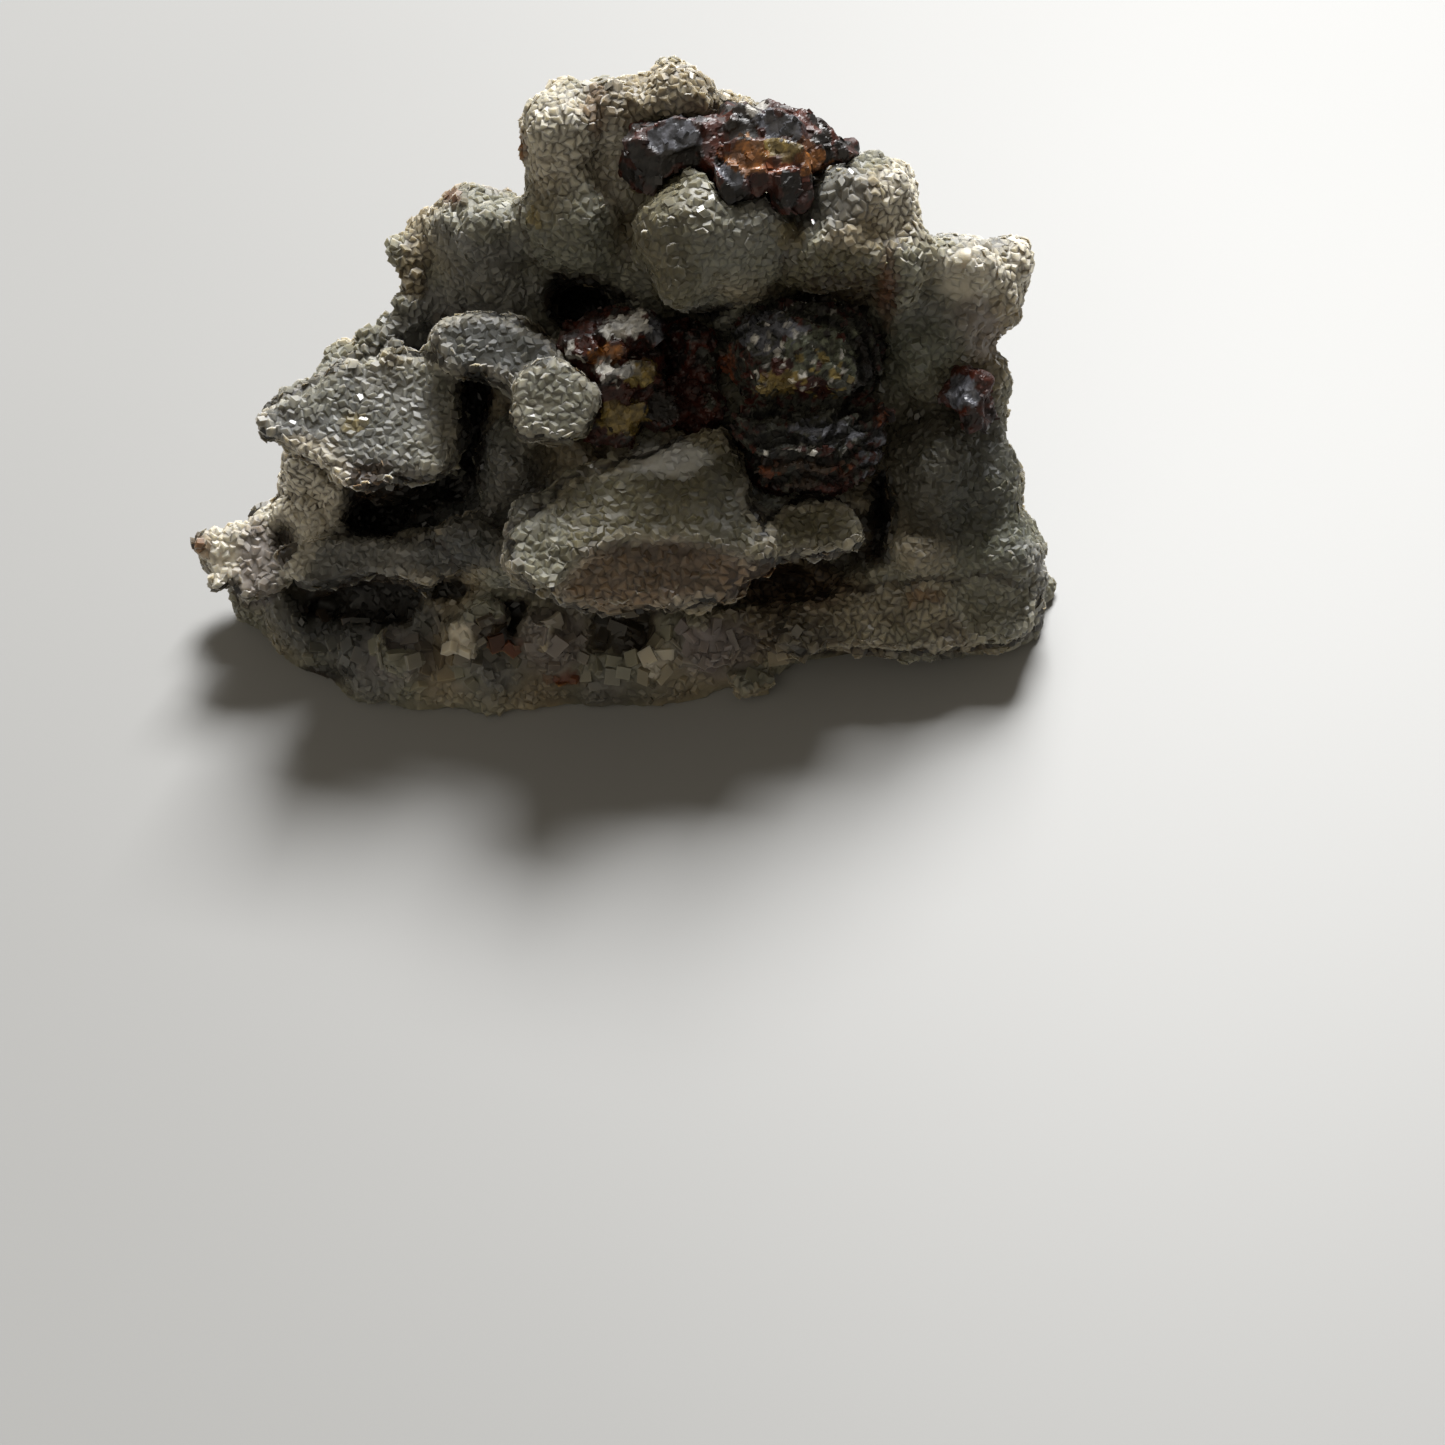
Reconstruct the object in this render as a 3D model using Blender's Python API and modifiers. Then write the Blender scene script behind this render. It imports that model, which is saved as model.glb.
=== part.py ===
"""A smithsonite hand specimen: pale drusy crusts, ledges and plates around dark sphalerite.

The photograph sees the display face from above and in front. Its lobes are placed on a plane square to that
sight line, in mm right of and above the plane's middle, and how far each one stands out towards the eye.
The row frame has +Z up, the stone's flat base on z = 0, and the eye straight in front of it, towards -Y.
"""

import math

import bmesh
import bpy
from mathutils import Euler, Matrix, Vector, noise

MM = 0.001

# The sight line of the display face
SIGHT_ELEVATION = math.radians(51.5)
SIGHT_ROLL = math.radians(-11.7)
EYE = Vector((0.0, -92.0, 98.0)) * MM
FACE_CENTRE = Vector((-1.6, -3.0, 13.0)) * MM
FACE_TURN = Matrix.Rotation(math.pi / 2 - SIGHT_ELEVATION, 3, "X") @ Matrix.Rotation(SIGHT_ROLL, 3, "Z")

# How finely the solids are made
CRUST_VOXEL = 0.45 * MM
CRUST_TRIANGLES = 7300
NODULE_VOXEL = 0.3 * MM
WELD = 0.001 * MM
SOCKET_GAP = 0.45 * MM
GRAIN_HEIGHT = 0.45 * MM
GRAIN_SIZE = 2.0 * MM
GRAIN_PROUD = 0.25
GRAIN_LEVEL = 0.45

# The wider swell's height and size, in grain heights and grain sizes
SWELL_HEIGHT, SWELL_SIZE = 0.8, 3.0

# A lobe is right, up and front of its middle on the face, then its half width, half height and half depth, in mm.
CROWN = [
    (-2.9, 12.8, 8.4, 2.4, 2.8, 3.8),
    (-0.4, 14.1, 8.2, 2.1, 2.0, 3.5),
    (2.7, 14.4, 8.7, 2.3, 2.2, 3.5),
    (6.0, 13.9, 6.5, 1.6, 1.1, 3.0),
]
LEFT_SHOULDER = [
    (-6.9, 8.0, 4.2, 3.0, 2.8, 4.2),
    (-9.2, 8.1, 1.6, 1.0, 1.6, 3.0),
    (-10.2, 6.5, 0.2, 0.8, 1.9, 3.0),
    (-2.5, 8.5, 7.0, 2.8, 2.9, 4.2),
    (-6.5, 5.4, 2.3, 3.0, 1.8, 4.0),
]
MIDDLE_BROW = [
    (3.4, 10.0, 10.4, 1.7, 1.8, 3.0),
    (3.4, 8.0, 11.2, 3.3, 2.6, 4.5),
    (2.9, 6.0, 10.6, 1.5, 1.8, 3.5),
    (6.6, 8.2, 10.2, 1.9, 2.0, 4.0),
    (5.6, 6.4, 9.6, 2.1, 1.8, 4.0),
]
RIGHT_SHOULDER = [
    (11.2, 9.6, 9.6, 2.6, 2.5, 4.5),
    (13.3, 9.1, 8.2, 1.8, 2.9, 4.5),
    (10.5, 6.7, 9.2, 3.0, 1.9, 4.5),
    (13.8, 6.0, 7.8, 1.9, 2.6, 4.5),
    (17.0, 6.2, 6.6, 2.6, 2.0, 3.5),
    (19.0, 6.4, 5.2, 1.8, 1.7, 2.5),
    (18.3, 4.3, 4.8, 1.5, 1.5, 2.5),
    (16.4, 3.0, 5.2, 2.2, 2.3, 4.0),
    (18.1, 0.0, 2.6, 1.2, 2.8, 3.5),
    (14.5, 1.8, 4.6, 2.1, 2.4, 4.0),
]
RIGHT_FLANK = [
    (15.5, -3.5, 3.0, 2.7, 3.2, 4.5),
    (18.2, -4.5, 2.0, 1.7, 2.6, 4.0),
    (18.5, -8.0, 1.5, 2.7, 3.0, 4.5),
    (14.5, -7.7, 2.2, 2.4, 1.8, 4.0),
    (18.0, -10.4, -1.0, 2.9, 2.0, 4.0),
    (12.5, -10.8, -2.0, 3.5, 1.9, 3.5),
    (15.6, -11.4, -3.0, 1.7, 1.5, 3.0),
    (8.5, -10.6, -2.5, 3.1, 2.2, 3.5),
]
LEFT_LEDGE = [
    (-12.4, 0.3, 2.0, 3.4, 1.8, 2.4),
    (-10.0, -0.9, 2.6, 1.7, 1.7, 2.4),
    (-14.6, -1.2, 1.5, 2.2, 1.2, 2.0),
    (-9.9, -2.4, 2.7, 1.3, 1.2, 2.2),
    (-11.2, 2.5, -0.2, 1.8, 1.7, 3.5),
    (-10.0, 4.0, -0.2, 1.1, 1.7, 3.5),
    (-13.4, 1.2, 0.4, 1.8, 1.2, 2.6),
    (-15.4, 0.0, 0.4, 1.5, 1.0, 2.4),
    (-15.6, -3.6, -1.6, 1.8, 1.3, 2.8),
]
LEFT_FOOT = [
    (-19.6, -7.8, -8.0, 1.8, 1.6, 1.8),
    (-17.5, -7.4, -6.0, 1.9, 2.0, 2.8),
    (-17.0, -5.8, -5.6, 1.5, 0.8, 2.5),
    (-14.4, -6.1, -3.4, 1.2, 1.4, 3.5),
    (-14.6, -8.0, -2.6, 1.7, 1.3, 3.5),
    (-11.8, -7.9, -1.4, 1.9, 1.2, 3.5),
    (-18.4, -10.2, -9.0, 1.0, 1.7, 2.4),
    (-15.9, -11.0, -6.4, 2.0, 1.7, 4.5),
    (-12.7, -11.2, -5.0, 1.7, 1.7, 4.5),
    (-14.4, -13.0, -7.4, 2.1, 1.4, 3.5),
]
# The round cap left of the left nodule
KNOB = [
    (-3.4, -0.2, 6.2, 2.15, 2.15, 1.4),
    (-3.4, -0.2, 5.4, 2.193, 2.193, 2.6),
]
MIDDLE_SLOPE = [
    (-5.4, -3.2, 1.6, 2.3, 2.7, 3.5),
    (-8.0, -6.6, 0.5, 2.5, 1.9, 3.5),
    (-5.8, -8.0, 1.5, 1.7, 1.6, 3.0),
    (-10.5, -7.6, -0.8, 2.1, 1.4, 3.5),
]
BROKEN_FRONT = [
    (-9.8, -10.6, -3.0, 1.4, 1.1, 3.5),
    (-7.0, -10.5, -1.8, 1.3, 0.9, 2.5),
    (-3.6, -11.8, -0.8, 1.7, 1.9, 3.5),
    (-0.2, -11.8, -1.9, 2.0, 1.6, 3.5),
    (5.6, -11.6, -1.2, 1.7, 1.8, 3.5),
    (4.4, -13.4, -3.0, 2.4, 1.5, 3.0),
    (-0.6, -13.9, -4.8, 3.2, 1.2, 3.0),
    (-4.2, -14.0, -5.2, 2.0, 1.0, 3.0),
]

# The broken front's flat-faced chips: middle on the face and front, sizes across, up and deep, turns in degrees
CHIPS = [
    ((-11.0, -12.6, -4.4), (2.6, 2.5, 3.6), (-20, 15, 12)),
    ((-8.0, -11.8, -2.5), (1.6, 1.6, 3.2), (15, -12, 5)),
    ((-6.8, -13.1, -4.4), (3.2, 1.8, 3.0), (-15, 20, -25)),
    ((-9.6, -13.8, -5.8), (2.4, 1.2, 2.6), (-20, -10, 10)),
    ((-1.6, -12.9, -3.6), (2.2, 1.5, 3.0), (-10, -25, 15)),
    ((1.8, -12.7, -3.2), (1.8, 1.9, 3.2), (-25, 12, -8)),
    ((3.8, -11.5, -0.4), (2.0, 2.2, 3.2), (10, 25, 20)),
    ((6.4, -14.0, -3.4), (2.4, 1.4, 2.6), (-15, -15, -20)),
    ((15.4, -9.9, 0.4), (2.2, 1.3, 2.6), (20, 15, 10)),
    ((11.4, -11.6, -1.6), (2.6, 1.6, 2.6), (-15, -20, -6)),
    ((-17.6, -8.8, -6.2), (1.6, 1.8, 2.4), (10, 25, 30)),
]

# A plate is the broken end of a crust, here by its outline on the face
CENTRE_PLATE = [
    (-3.3, -4.6), (-2.9, -4.2), (-2.0, -4.0), (-1.4, -3.5), (-0.6, -3.3), (1.3, -2.9), (3.0, -1.9), (5.0, -1.4),
    (5.4, -2.3), (6.0, -3.0), (6.1, -4.8), (6.9, -6.2), (7.4, -7.6), (6.8, -8.3), (5.3, -8.9), (4.3, -7.2),
    (1.0, -7.1), (-1.5, -7.4), (-2.1, -8.2), (-3.7, -9.6), (-4.9, -9.4), (-5.6, -8.7), (-5.6, -6.6), (-5.0, -5.6),
    (-3.5, -5.6), (-2.7, -5.2),
]
PLATE_SECTION = [(-2.6, -7.6), (6.7, -7.6), (6.3, -8.7), (5.0, -9.6), (1.7, -10.0), (-1.0, -10.4), (-3.4, -9.6)]
TONGUE = [
    (-9.6, 3.4), (-8.8, 3.9), (-7.0, 4.1), (-5.2, 4.0), (-3.9, 3.2), (-2.8, 2.0), (-2.3, 0.6), (-4.5, 0.0),
    (-5.7, 0.9), (-6.5, 1.35), (-7.2, 1.9), (-8.0, 1.75), (-8.9, 1.6), (-9.4, 2.4),
]
LEDGE_PLATE = [
    (-18.0, -1.5), (-17.1, 0.0), (-15.2, 0.9), (-13.2, 2.1), (-11.0, 2.2), (-9.5, 1.9), (-8.3, 1.2), (-8.1, -0.8),
    (-8.5, -2.9), (-9.8, -3.6), (-11.0, -3.9), (-12.2, -4.6), (-13.4, -4.5), (-14.4, -3.7), (-16.3, -2.8),
]
LOWER_LIP = [
    (-17.4, -7.4), (-14.8, -6.9), (-11.6, -7.0), (-9.0, -7.4), (-8.4, -8.6), (-9.8, -9.3), (-11.0, -8.8),
    (-12.2, -8.6), (-13.4, -8.8), (-14.5, -9.4), (-15.6, -9.4), (-16.6, -8.6),
]
RIGHT_SILL = [
    (5.4, -10.6), (8.2, -10.3), (11.8, -9.6), (15.0, -9.2), (18.6, -9.0), (20.6, -9.6), (20.9, -11.2), (19.4, -12.2),
    (15.4, -12.6), (11.0, -12.4), (7.2, -12.8),
]
OLIVE_PLATE = [
    (7.0, -7.2), (7.3, -6.0), (8.4, -5.2), (9.6, -5.0), (10.6, -5.2), (11.4, -5.6), (12.1, -6.3), (11.8, -7.1),
    (10.9, -7.5), (10.0, -7.7), (9.3, -7.6), (8.5, -7.6), (7.6, -8.1),
]

# Each plate's outline, its front and its thickness in mm, and how far its top leans back, in degrees
PLATES = [
    (CENTRE_PLATE, 4.6, 3.6, 18),
    (PLATE_SECTION, 3.2, 4.0, -35),
    (TONGUE, 4.2, 3.0, 10),
    (OLIVE_PLATE, 3.6, 3.2, 10),
    (LEDGE_PLATE, 2.0, 2.4, 14),
    (LOWER_LIP, -1.4, 2.4, 8),
    (RIGHT_SILL, -0.6, 4.0, 12),
]

# A hollow takes the same six sizes as a lobe.
HOLLOWS = [
    (-11.2, -5.7, 3.5, 3.4, 1.4, 5.0),
    (-8.0, -4.9, 3.8, 1.6, 1.2, 4.8),
    (-12.0, -10.0, 0.5, 3.4, 0.7, 5.0),
    (-6.6, -9.6, 2.0, 1.5, 0.6, 4.0),
    (-15.6, -9.9, -1.5, 1.6, 0.6, 4.0),
    (0.6, -10.6, 2.0, 3.4, 0.5, 4.0),
    (-5.5, -12.2, 1.0, 0.5, 1.6, 4.0),
    (-9.5, -12.2, 0.0, 0.4, 1.4, 4.0),
    (8.6, -13.2, 0.0, 0.8, 0.8, 3.0),
    (14.0, -9.0, 4.0, 2.2, 0.5, 4.0),
    (-9.0, 6.4, 4.0, 1.4, 0.5, 2.2),
    (-4.7, 7.6, 6.6, 0.5, 1.8, 2.6),
    (0.0, 9.0, 10.4, 0.5, 2.2, 4.0),
    (-0.7, 13.2, 10.2, 0.4, 1.8, 3.6),
    (8.8, 8.4, 11.6, 0.5, 2.4, 4.0),
    (4.9, 9.9, 12.4, 0.4, 1.4, 3.6),
    (15.2, 6.8, 9.0, 0.4, 2.4, 3.6),
    (16.5, -1.6, 6.0, 0.5, 2.0, 3.6),
    (17.0, -6.4, 5.0, 2.6, 0.5, 3.6),
    (-15.2, -7.3, 0.4, 0.5, 1.4, 4.0),
    (-7.4, -0.3, 4.0, 0.85, 2.0, 5.0),
    (-2.2, 4.8, 7.5, 2.0, 1.5, 6.0),
    (2.9, 3.2, 7.0, 1.9, 1.6, 6.0),
    (12.9, -5.2, 5.5, 0.75, 2.0, 5.5),
    (8.2, -9.1, 3.0, 3.2, 1.1, 5.0),
    (-0.9, -2.6, 6.0, 2.0, 0.7, 5.0),
    (-15.6, -5.0, 1.0, 1.6, 0.4, 4.0),
]

# Sphalerite crystals: middle on the face and front, then sizes across, up and deep, then turns about the three axes
TOP_CRYSTALS = [
    ((2.4, 12.7, 9.3), (3.6, 1.7, 3.0), (20, 5, 6)),
    ((1.3, 11.9, 8.6), (1.8, 1.8, 3.0), (-10, 30, 40)),
    ((4.5, 12.6, 9.0), (1.5, 2.4, 3.0), (10, -20, 8)),
    ((6.2, 13.1, 9.2), (2.6, 1.8, 3.2), (25, 15, -12)),
    ((8.3, 12.9, 8.6), (2.8, 1.7, 3.2), (-15, -25, -18)),
    ((7.2, 11.9, 9.9), (3.4, 1.6, 3.2), (35, 10, 4)),
    ((9.2, 12.0, 8.8), (1.6, 1.7, 3.0), (10, 35, 30)),
    ((5.6, 10.9, 9.9), (1.4, 1.6, 2.6), (40, 20, 45)),
    ((8.3, 10.5, 9.8), (1.1, 2.2, 2.6), (20, 30, 8)),
    ((10.6, 12.2, 8.0), (1.2, 0.9, 2.4), (30, 30, 45)),
]
LEFT_CRYSTALS = [
    ((-0.9, 3.2, 4.6), (2.4, 1.5, 3.4), (30, 20, 24)),
    ((0.6, 3.7, 3.9), (1.8, 1.3, 3.0), (10, -30, -12)),
    ((-1.8, 2.0, 4.8), (1.9, 1.5, 3.4), (-25, 15, 40)),
    ((0.3, 1.4, 4.8), (2.6, 1.5, 3.6), (20, -15, -6)),
    ((-0.8, 0.2, 4.6), (2.0, 1.6, 3.4), (-15, 35, 10)),
    ((1.0, -0.2, 3.9), (1.8, 1.7, 3.2), (15, 20, 30)),
    ((-0.3, -1.2, 4.2), (2.2, 1.4, 3.2), (30, 0, -16)),
]
GAP_CRYSTALS = [
    ((3.3, 2.7, 2.4), (1.7, 1.7, 3.0), (30, 25, 20)),
    ((3.9, 1.5, 2.2), (1.6, 1.6, 3.0), (-20, 40, 35)),
    ((3.1, 0.4, 2.0), (1.8, 1.6, 3.0), (35, -15, 10)),
    ((4.0, -0.7, 2.1), (1.5, 1.4, 3.0), (15, 30, 50)),
]
EDGE_CRYSTALS = [
    ((17.1, 0.5, 5.2), (1.1, 1.8, 2.6), (10, 25, -8)),
    ((17.5, -0.6, 4.9), (1.0, 2.0, 2.6), (20, -20, 5)),
    ((16.8, -0.1, 4.8), (0.9, 1.0, 2.2), (35, 30, 40)),
]

# The right nodule: concentric bands on a dome, and thinner ones below the crack across it
NODULE_DOME = (9.0, 2.1, 6.2, 4.1, 2.9, 4.2)
NODULE_FOOT = (9.2, -2.2, 4.6, 4.0, 2.9, 4.0)
NODULE_FLAKES = [
    ((7.4, 2.9, 6.6), (2.4, 1.7, 1.8), (20, -15, 10)),
    ((9.4, 2.6, 7.0), (2.6, 1.8, 1.8), (-10, 12, -20)),
    ((8.0, 1.2, 6.9), (2.8, 1.3, 1.8), (15, 8, 5)),
    ((10.6, 1.2, 6.4), (2.2, 1.5, 1.8), (-15, 20, -30)),
    ((11.6, 2.4, 5.4), (1.2, 2.8, 2.2), (5, 30, 22)),
    ((9.0, -1.3, 6.0), (5.4, 0.8, 2.4), (22, 4, 4)),
    ((9.2, -2.5, 5.9), (4.8, 0.7, 2.4), (18, -3, 6)),
    ((8.6, -3.6, 5.1), (3.6, 1.2, 2.4), (25, 6, -4)),
    ((10.8, -3.2, 4.9), (2.0, 1.6, 2.4), (10, 30, 35)),
    ((6.6, -1.2, 5.4), (1.6, 1.9, 2.4), (15, -25, 20)),
    ((12.2, -1.6, 4.6), (1.2, 2.8, 2.4), (5, 30, -22)),
]

# Each body of sphalerite: its crystals, the lobes that they grow on, and its triangles
SPHALERITE = {
    "top_sphalerite": (TOP_CRYSTALS, [(7.2, 12.2, 8.2, 2.9, 1.7, 2.6)], 420),
    "left_sphalerite": (LEFT_CRYSTALS, [(-0.6, 1.0, 3.4, 2.4, 3.1, 2.8)], 420),
    "gap_sphalerite": (GAP_CRYSTALS, [], 240),
    "right_sphalerite": (NODULE_FLAKES, [NODULE_DOME, NODULE_FOOT], 900),
    "edge_sphalerite": (EDGE_CRYSTALS, [], 160),
}

# The mass behind the display lobes
CORE = [
    (-1.0, -8.8, -2.2, 16.5, 5.8, 7.5),
    (3.5, -1.0, 1.2, 13.0, 8.0, 8.5),
    (3.5, 7.0, 4.0, 8.0, 6.0, 6.5),
    (1.2, 11.8, 5.4, 4.2, 3.0, 5.0),
    (-11.5, -4.0, -1.6, 5.6, 6.0, 6.0),
    (14.5, -5.0, 0.8, 5.0, 8.0, 8.0),
    (-5.5, 4.5, 1.0, 4.6, 4.6, 6.0),
    (16.8, 5.0, 3.0, 2.6, 3.0, 6.0),
]

# Where the front meets the ground: across and towards the back in the row frame, in mm
BASE_EDGE = [
    (-23.4, 0.0), (-21.8, -3.6), (-18.8, -6.9), (-15.8, -8.7), (-12.6, -9.8), (-9.6, -10.5), (-6.4, -11.2),
    (-3.6, -11.8), (-0.9, -12.1), (3.0, -11.6), (6.6, -11.0), (10.2, -11.2), (13.6, -12.0), (16.4, -12.5),
    (17.2, -10.5), (17.4, -7.6),
]
BASE_LOBE = Vector((2.3, 1.9, 2.6)) * MM
BASE_LOBE_HEIGHT, BASE_LOBE_INSET = 0.9, 1.5

# The hidden side: lobes spread by the golden angle over an oval behind the display face
BACK_LOBES = 64
BACK_MIDDLE, BACK_HALF_SIZES = (1.0, -2.6), (16.2, 12.6)
BACK_TAPER = 0.45
BACK_DEPTH, BACK_FRONT, BACK_TILT = 14.6, -1.5, 0.35
BACK_LOBE_RADIUS = (1.9, 4.4)
BACK_LOBE_SQUASH = Vector((1.0, 0.85, 0.95))
BACK_SIZE_WANDER, BACK_SIZE_PITCH = 0.7, 0.37
GOLDEN_TURN = math.pi * (3 - math.sqrt(5))

# What lies under the flat base and is cut off: wider than the stone, its top on z = 0
GROUND_SIZE = Vector((80.0, 80.0, 30.0)) * MM

# Colour, roughness and metallic value of the two minerals
SMITHSONITE_FINISH = ((0.36, 0.35, 0.30), 0.45, 0.0)
SPHALERITE_FINISH = ((0.045, 0.034, 0.028), 0.25, 0.0)


def on_face(right, up, out=0.0):
    """The point in the row frame that the eye sees right of and above the face's middle, moved out towards it."""
    flat = FACE_CENTRE + FACE_TURN @ Vector((right, up, 0.0)) * MM
    return flat + (EYE - flat).normalized() * out * MM


def clear_scene():
    for obj in list(bpy.data.objects):
        bpy.data.objects.remove(obj)


def collection(name):
    made = bpy.data.collections.new(name)
    bpy.context.scene.collection.children.link(made)
    return made


def material(name, colour, roughness, metallic):
    made = bpy.data.materials.new(name)
    made.use_nodes = True
    shader = made.node_tree.nodes["Principled BSDF"]
    shader.inputs["Base Color"].default_value = (*colour, 1.0)
    shader.inputs["Roughness"].default_value = roughness
    shader.inputs["Metallic"].default_value = metallic
    return made


def add_ellipsoid(bm, middle, half_sizes, turn):
    """An ellipsoid in the bmesh, its axes turned by a 3x3 matrix."""
    place = Matrix.Translation(middle) @ turn.to_4x4() @ Matrix.Diagonal((*half_sizes, 1.0))
    bmesh.ops.create_icosphere(bm, subdivisions=3, radius=1.0, matrix=place)


def add_lobe(bm, right, up, front, half_width, half_height, half_depth):
    half_sizes = Vector((half_width - GRAIN_PROUD, half_height - GRAIN_PROUD, half_depth)) * MM
    add_ellipsoid(bm, on_face(right, up, front - half_depth), half_sizes, FACE_TURN)


def add_box(bm, middle, sizes, turn):
    place = Matrix.Translation(middle) @ turn.to_4x4() @ Matrix.Diagonal((*sizes, 1.0))
    bmesh.ops.create_cube(bm, size=1.0, matrix=place)


def new_object(name, bm, into):
    mesh = bpy.data.meshes.new(name)
    bm.to_mesh(mesh)
    bm.free()
    made = bpy.data.objects.new(name, mesh)
    into.objects.link(made)
    return made


def add_plate(bm, outline, front, thickness, lean):
    """A flat outline on the face with a thickness behind its front, its top leaned back by some degrees."""
    curve = bpy.data.curves.new("plate_outline", "CURVE")
    curve.dimensions = "2D"
    curve.fill_mode = "BOTH"
    curve.extrude = thickness * MM / 2
    spline = curve.splines.new("POLY")
    spline.points.add(len(outline) - 1)
    middle_right = sum(right for right, _ in outline) / len(outline)
    middle_up = sum(up for _, up in outline) / len(outline)
    for point, (right, up) in zip(spline.points, outline):
        point.co = ((right - middle_right) * MM, (up - middle_up) * MM, 0.0, 1.0)
    spline.use_cyclic_u = True
    guide = bpy.data.objects.new("plate_outline", curve)
    bpy.context.scene.collection.objects.link(guide)
    bpy.context.view_layer.update()
    mesh = bpy.data.meshes.new_from_object(guide.evaluated_get(bpy.context.evaluated_depsgraph_get()))
    turn = FACE_TURN @ Matrix.Rotation(-math.radians(lean), 3, "X")
    mesh.transform(Matrix.Translation(on_face(middle_right, middle_up, front - thickness / 2)) @ turn.to_4x4())
    bm.from_mesh(mesh)
    bmesh.ops.remove_doubles(bm, verts=bm.verts, dist=WELD)
    bpy.data.objects.remove(guide)
    bpy.data.meshes.remove(mesh)


def add_base_edge(bm):
    """Low lobes where the broken front meets the ground."""
    for x, y in BASE_EDGE:
        inward = 1 - BASE_LOBE_INSET / math.hypot(x, y)
        middle = Vector((x * inward, y * inward, BASE_LOBE_HEIGHT)) * MM
        add_ellipsoid(bm, middle, BASE_LOBE, Matrix.Identity(3))


def add_back_lobes(bm):
    """Lobes over the hidden side, each of its own size."""
    low, high = BACK_LOBE_RADIUS
    for i in range(BACK_LOBES):
        reach = math.sqrt((i + 0.5) / BACK_LOBES)
        turn = i * GOLDEN_TURN
        taper = 1 - BACK_TAPER * max(0.0, reach * math.sin(turn))
        right = BACK_MIDDLE[0] + BACK_HALF_SIZES[0] * taper * reach * math.cos(turn)
        up = BACK_MIDDLE[1] + BACK_HALF_SIZES[1] * reach * math.sin(turn)
        out = BACK_FRONT + BACK_TILT * (up - BACK_MIDDLE[1]) - BACK_DEPTH * math.sqrt(1 - reach * reach)
        size = 0.5 + BACK_SIZE_WANDER * noise.noise(Vector((right, up, 0.0)) * BACK_SIZE_PITCH)
        radius = low + (high - low) * size
        half_sizes = BACK_LOBE_SQUASH * radius * MM
        add_ellipsoid(bm, on_face(right, up, out), half_sizes, Matrix.Rotation(turn, 3, "Z"))


def roughen(mesh):
    """Moves the surface in and out by its grain and by a wider swell, so that it looks crystalline."""
    mesh.update()
    normals = [vertex.normal.copy() for vertex in mesh.vertices]
    for vertex, normal in zip(mesh.vertices, normals):
        near = noise.voronoi(vertex.co / GRAIN_SIZE)[0][0]
        swell = noise.noise(vertex.co / (GRAIN_SIZE * SWELL_SIZE))
        vertex.co += normal * GRAIN_HEIGHT * (GRAIN_LEVEL - near + SWELL_HEIGHT * swell)


def evaluated_mesh(obj):
    """The object's mesh with its modifiers applied."""
    bpy.context.view_layer.update()
    return bpy.data.meshes.new_from_object(obj.evaluated_get(bpy.context.evaluated_depsgraph_get()))


def bake_modifiers(obj):
    old = obj.data
    obj.data = evaluated_mesh(obj)
    obj.modifiers.clear()
    bpy.data.meshes.remove(old)


def remesh(obj, voxel):
    modifier = obj.modifiers.new("one_skin", "REMESH")
    modifier.mode = "VOXEL"
    modifier.voxel_size = voxel
    bake_modifiers(obj)


def thin_to(obj, triangles):
    modifier = obj.modifiers.new("fewer_faces", "DECIMATE")
    obj.data.calc_loop_triangles()
    modifier.ratio = min(1.0, triangles / len(obj.data.loop_triangles))
    bake_modifiers(obj)


def cut(obj, cutter):
    modifier = obj.modifiers.new("cut_" + cutter.name, "BOOLEAN")
    modifier.operation = "DIFFERENCE"
    modifier.object = cutter


def grown_by_gap(nodule):
    """A copy of the nodule grown by the gap, which is the socket that it sits in without touching."""
    socket = bpy.data.objects.new("socket", evaluated_mesh(nodule))
    bpy.context.scene.collection.objects.link(socket)
    remesh(socket, CRUST_VOXEL)
    grow = socket.modifiers.new("gap", "DISPLACE")
    grow.strength = SOCKET_GAP
    grow.mid_level = 0.0
    bake_modifiers(socket)
    mesh = socket.data
    bpy.data.objects.remove(socket)
    return mesh


def keep_largest_piece(obj):
    """Removes the loose crumbs that a cut leaves behind."""
    bm = bmesh.new()
    bm.from_mesh(obj.data)
    left = set(bm.verts)
    pieces = []
    while left:
        piece, edge_of_piece = set(), [left.pop()]
        while edge_of_piece:
            vert = edge_of_piece.pop()
            piece.add(vert)
            near = {edge.other_vert(vert) for edge in vert.link_edges} & left
            left -= near
            edge_of_piece.extend(near)
        pieces.append(piece)
    largest = max(pieces, key=len)
    bmesh.ops.delete(bm, geom=[vert for vert in bm.verts if vert not in largest], context="VERTS")
    bm.to_mesh(obj.data)
    bm.free()


def finish(obj, slot_material):
    obj.data.materials.clear()
    obj.data.materials.append(slot_material)
    for polygon in obj.data.polygons:
        polygon.use_smooth = False


def add_crystals(bm, crystals):
    for (right, up, front), sizes, turns in crystals:
        turn = FACE_TURN @ Euler([math.radians(angle) for angle in turns]).to_matrix()
        add_box(bm, on_face(right, up, front - sizes[2] / 2), Vector(sizes) * MM, turn)


def sphalerite(name, slot_material, into):
    """One body of sphalerite: blocky crystals grown into each other on rounded lobes."""
    crystals, lobes, triangles = SPHALERITE[name]
    bm = bmesh.new()
    add_crystals(bm, crystals)
    for lobe in lobes:
        add_lobe(bm, *lobe)
    made = new_object(name, bm, into)
    remesh(made, NODULE_VOXEL)
    thin_to(made, triangles)
    finish(made, slot_material)
    return made


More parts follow.
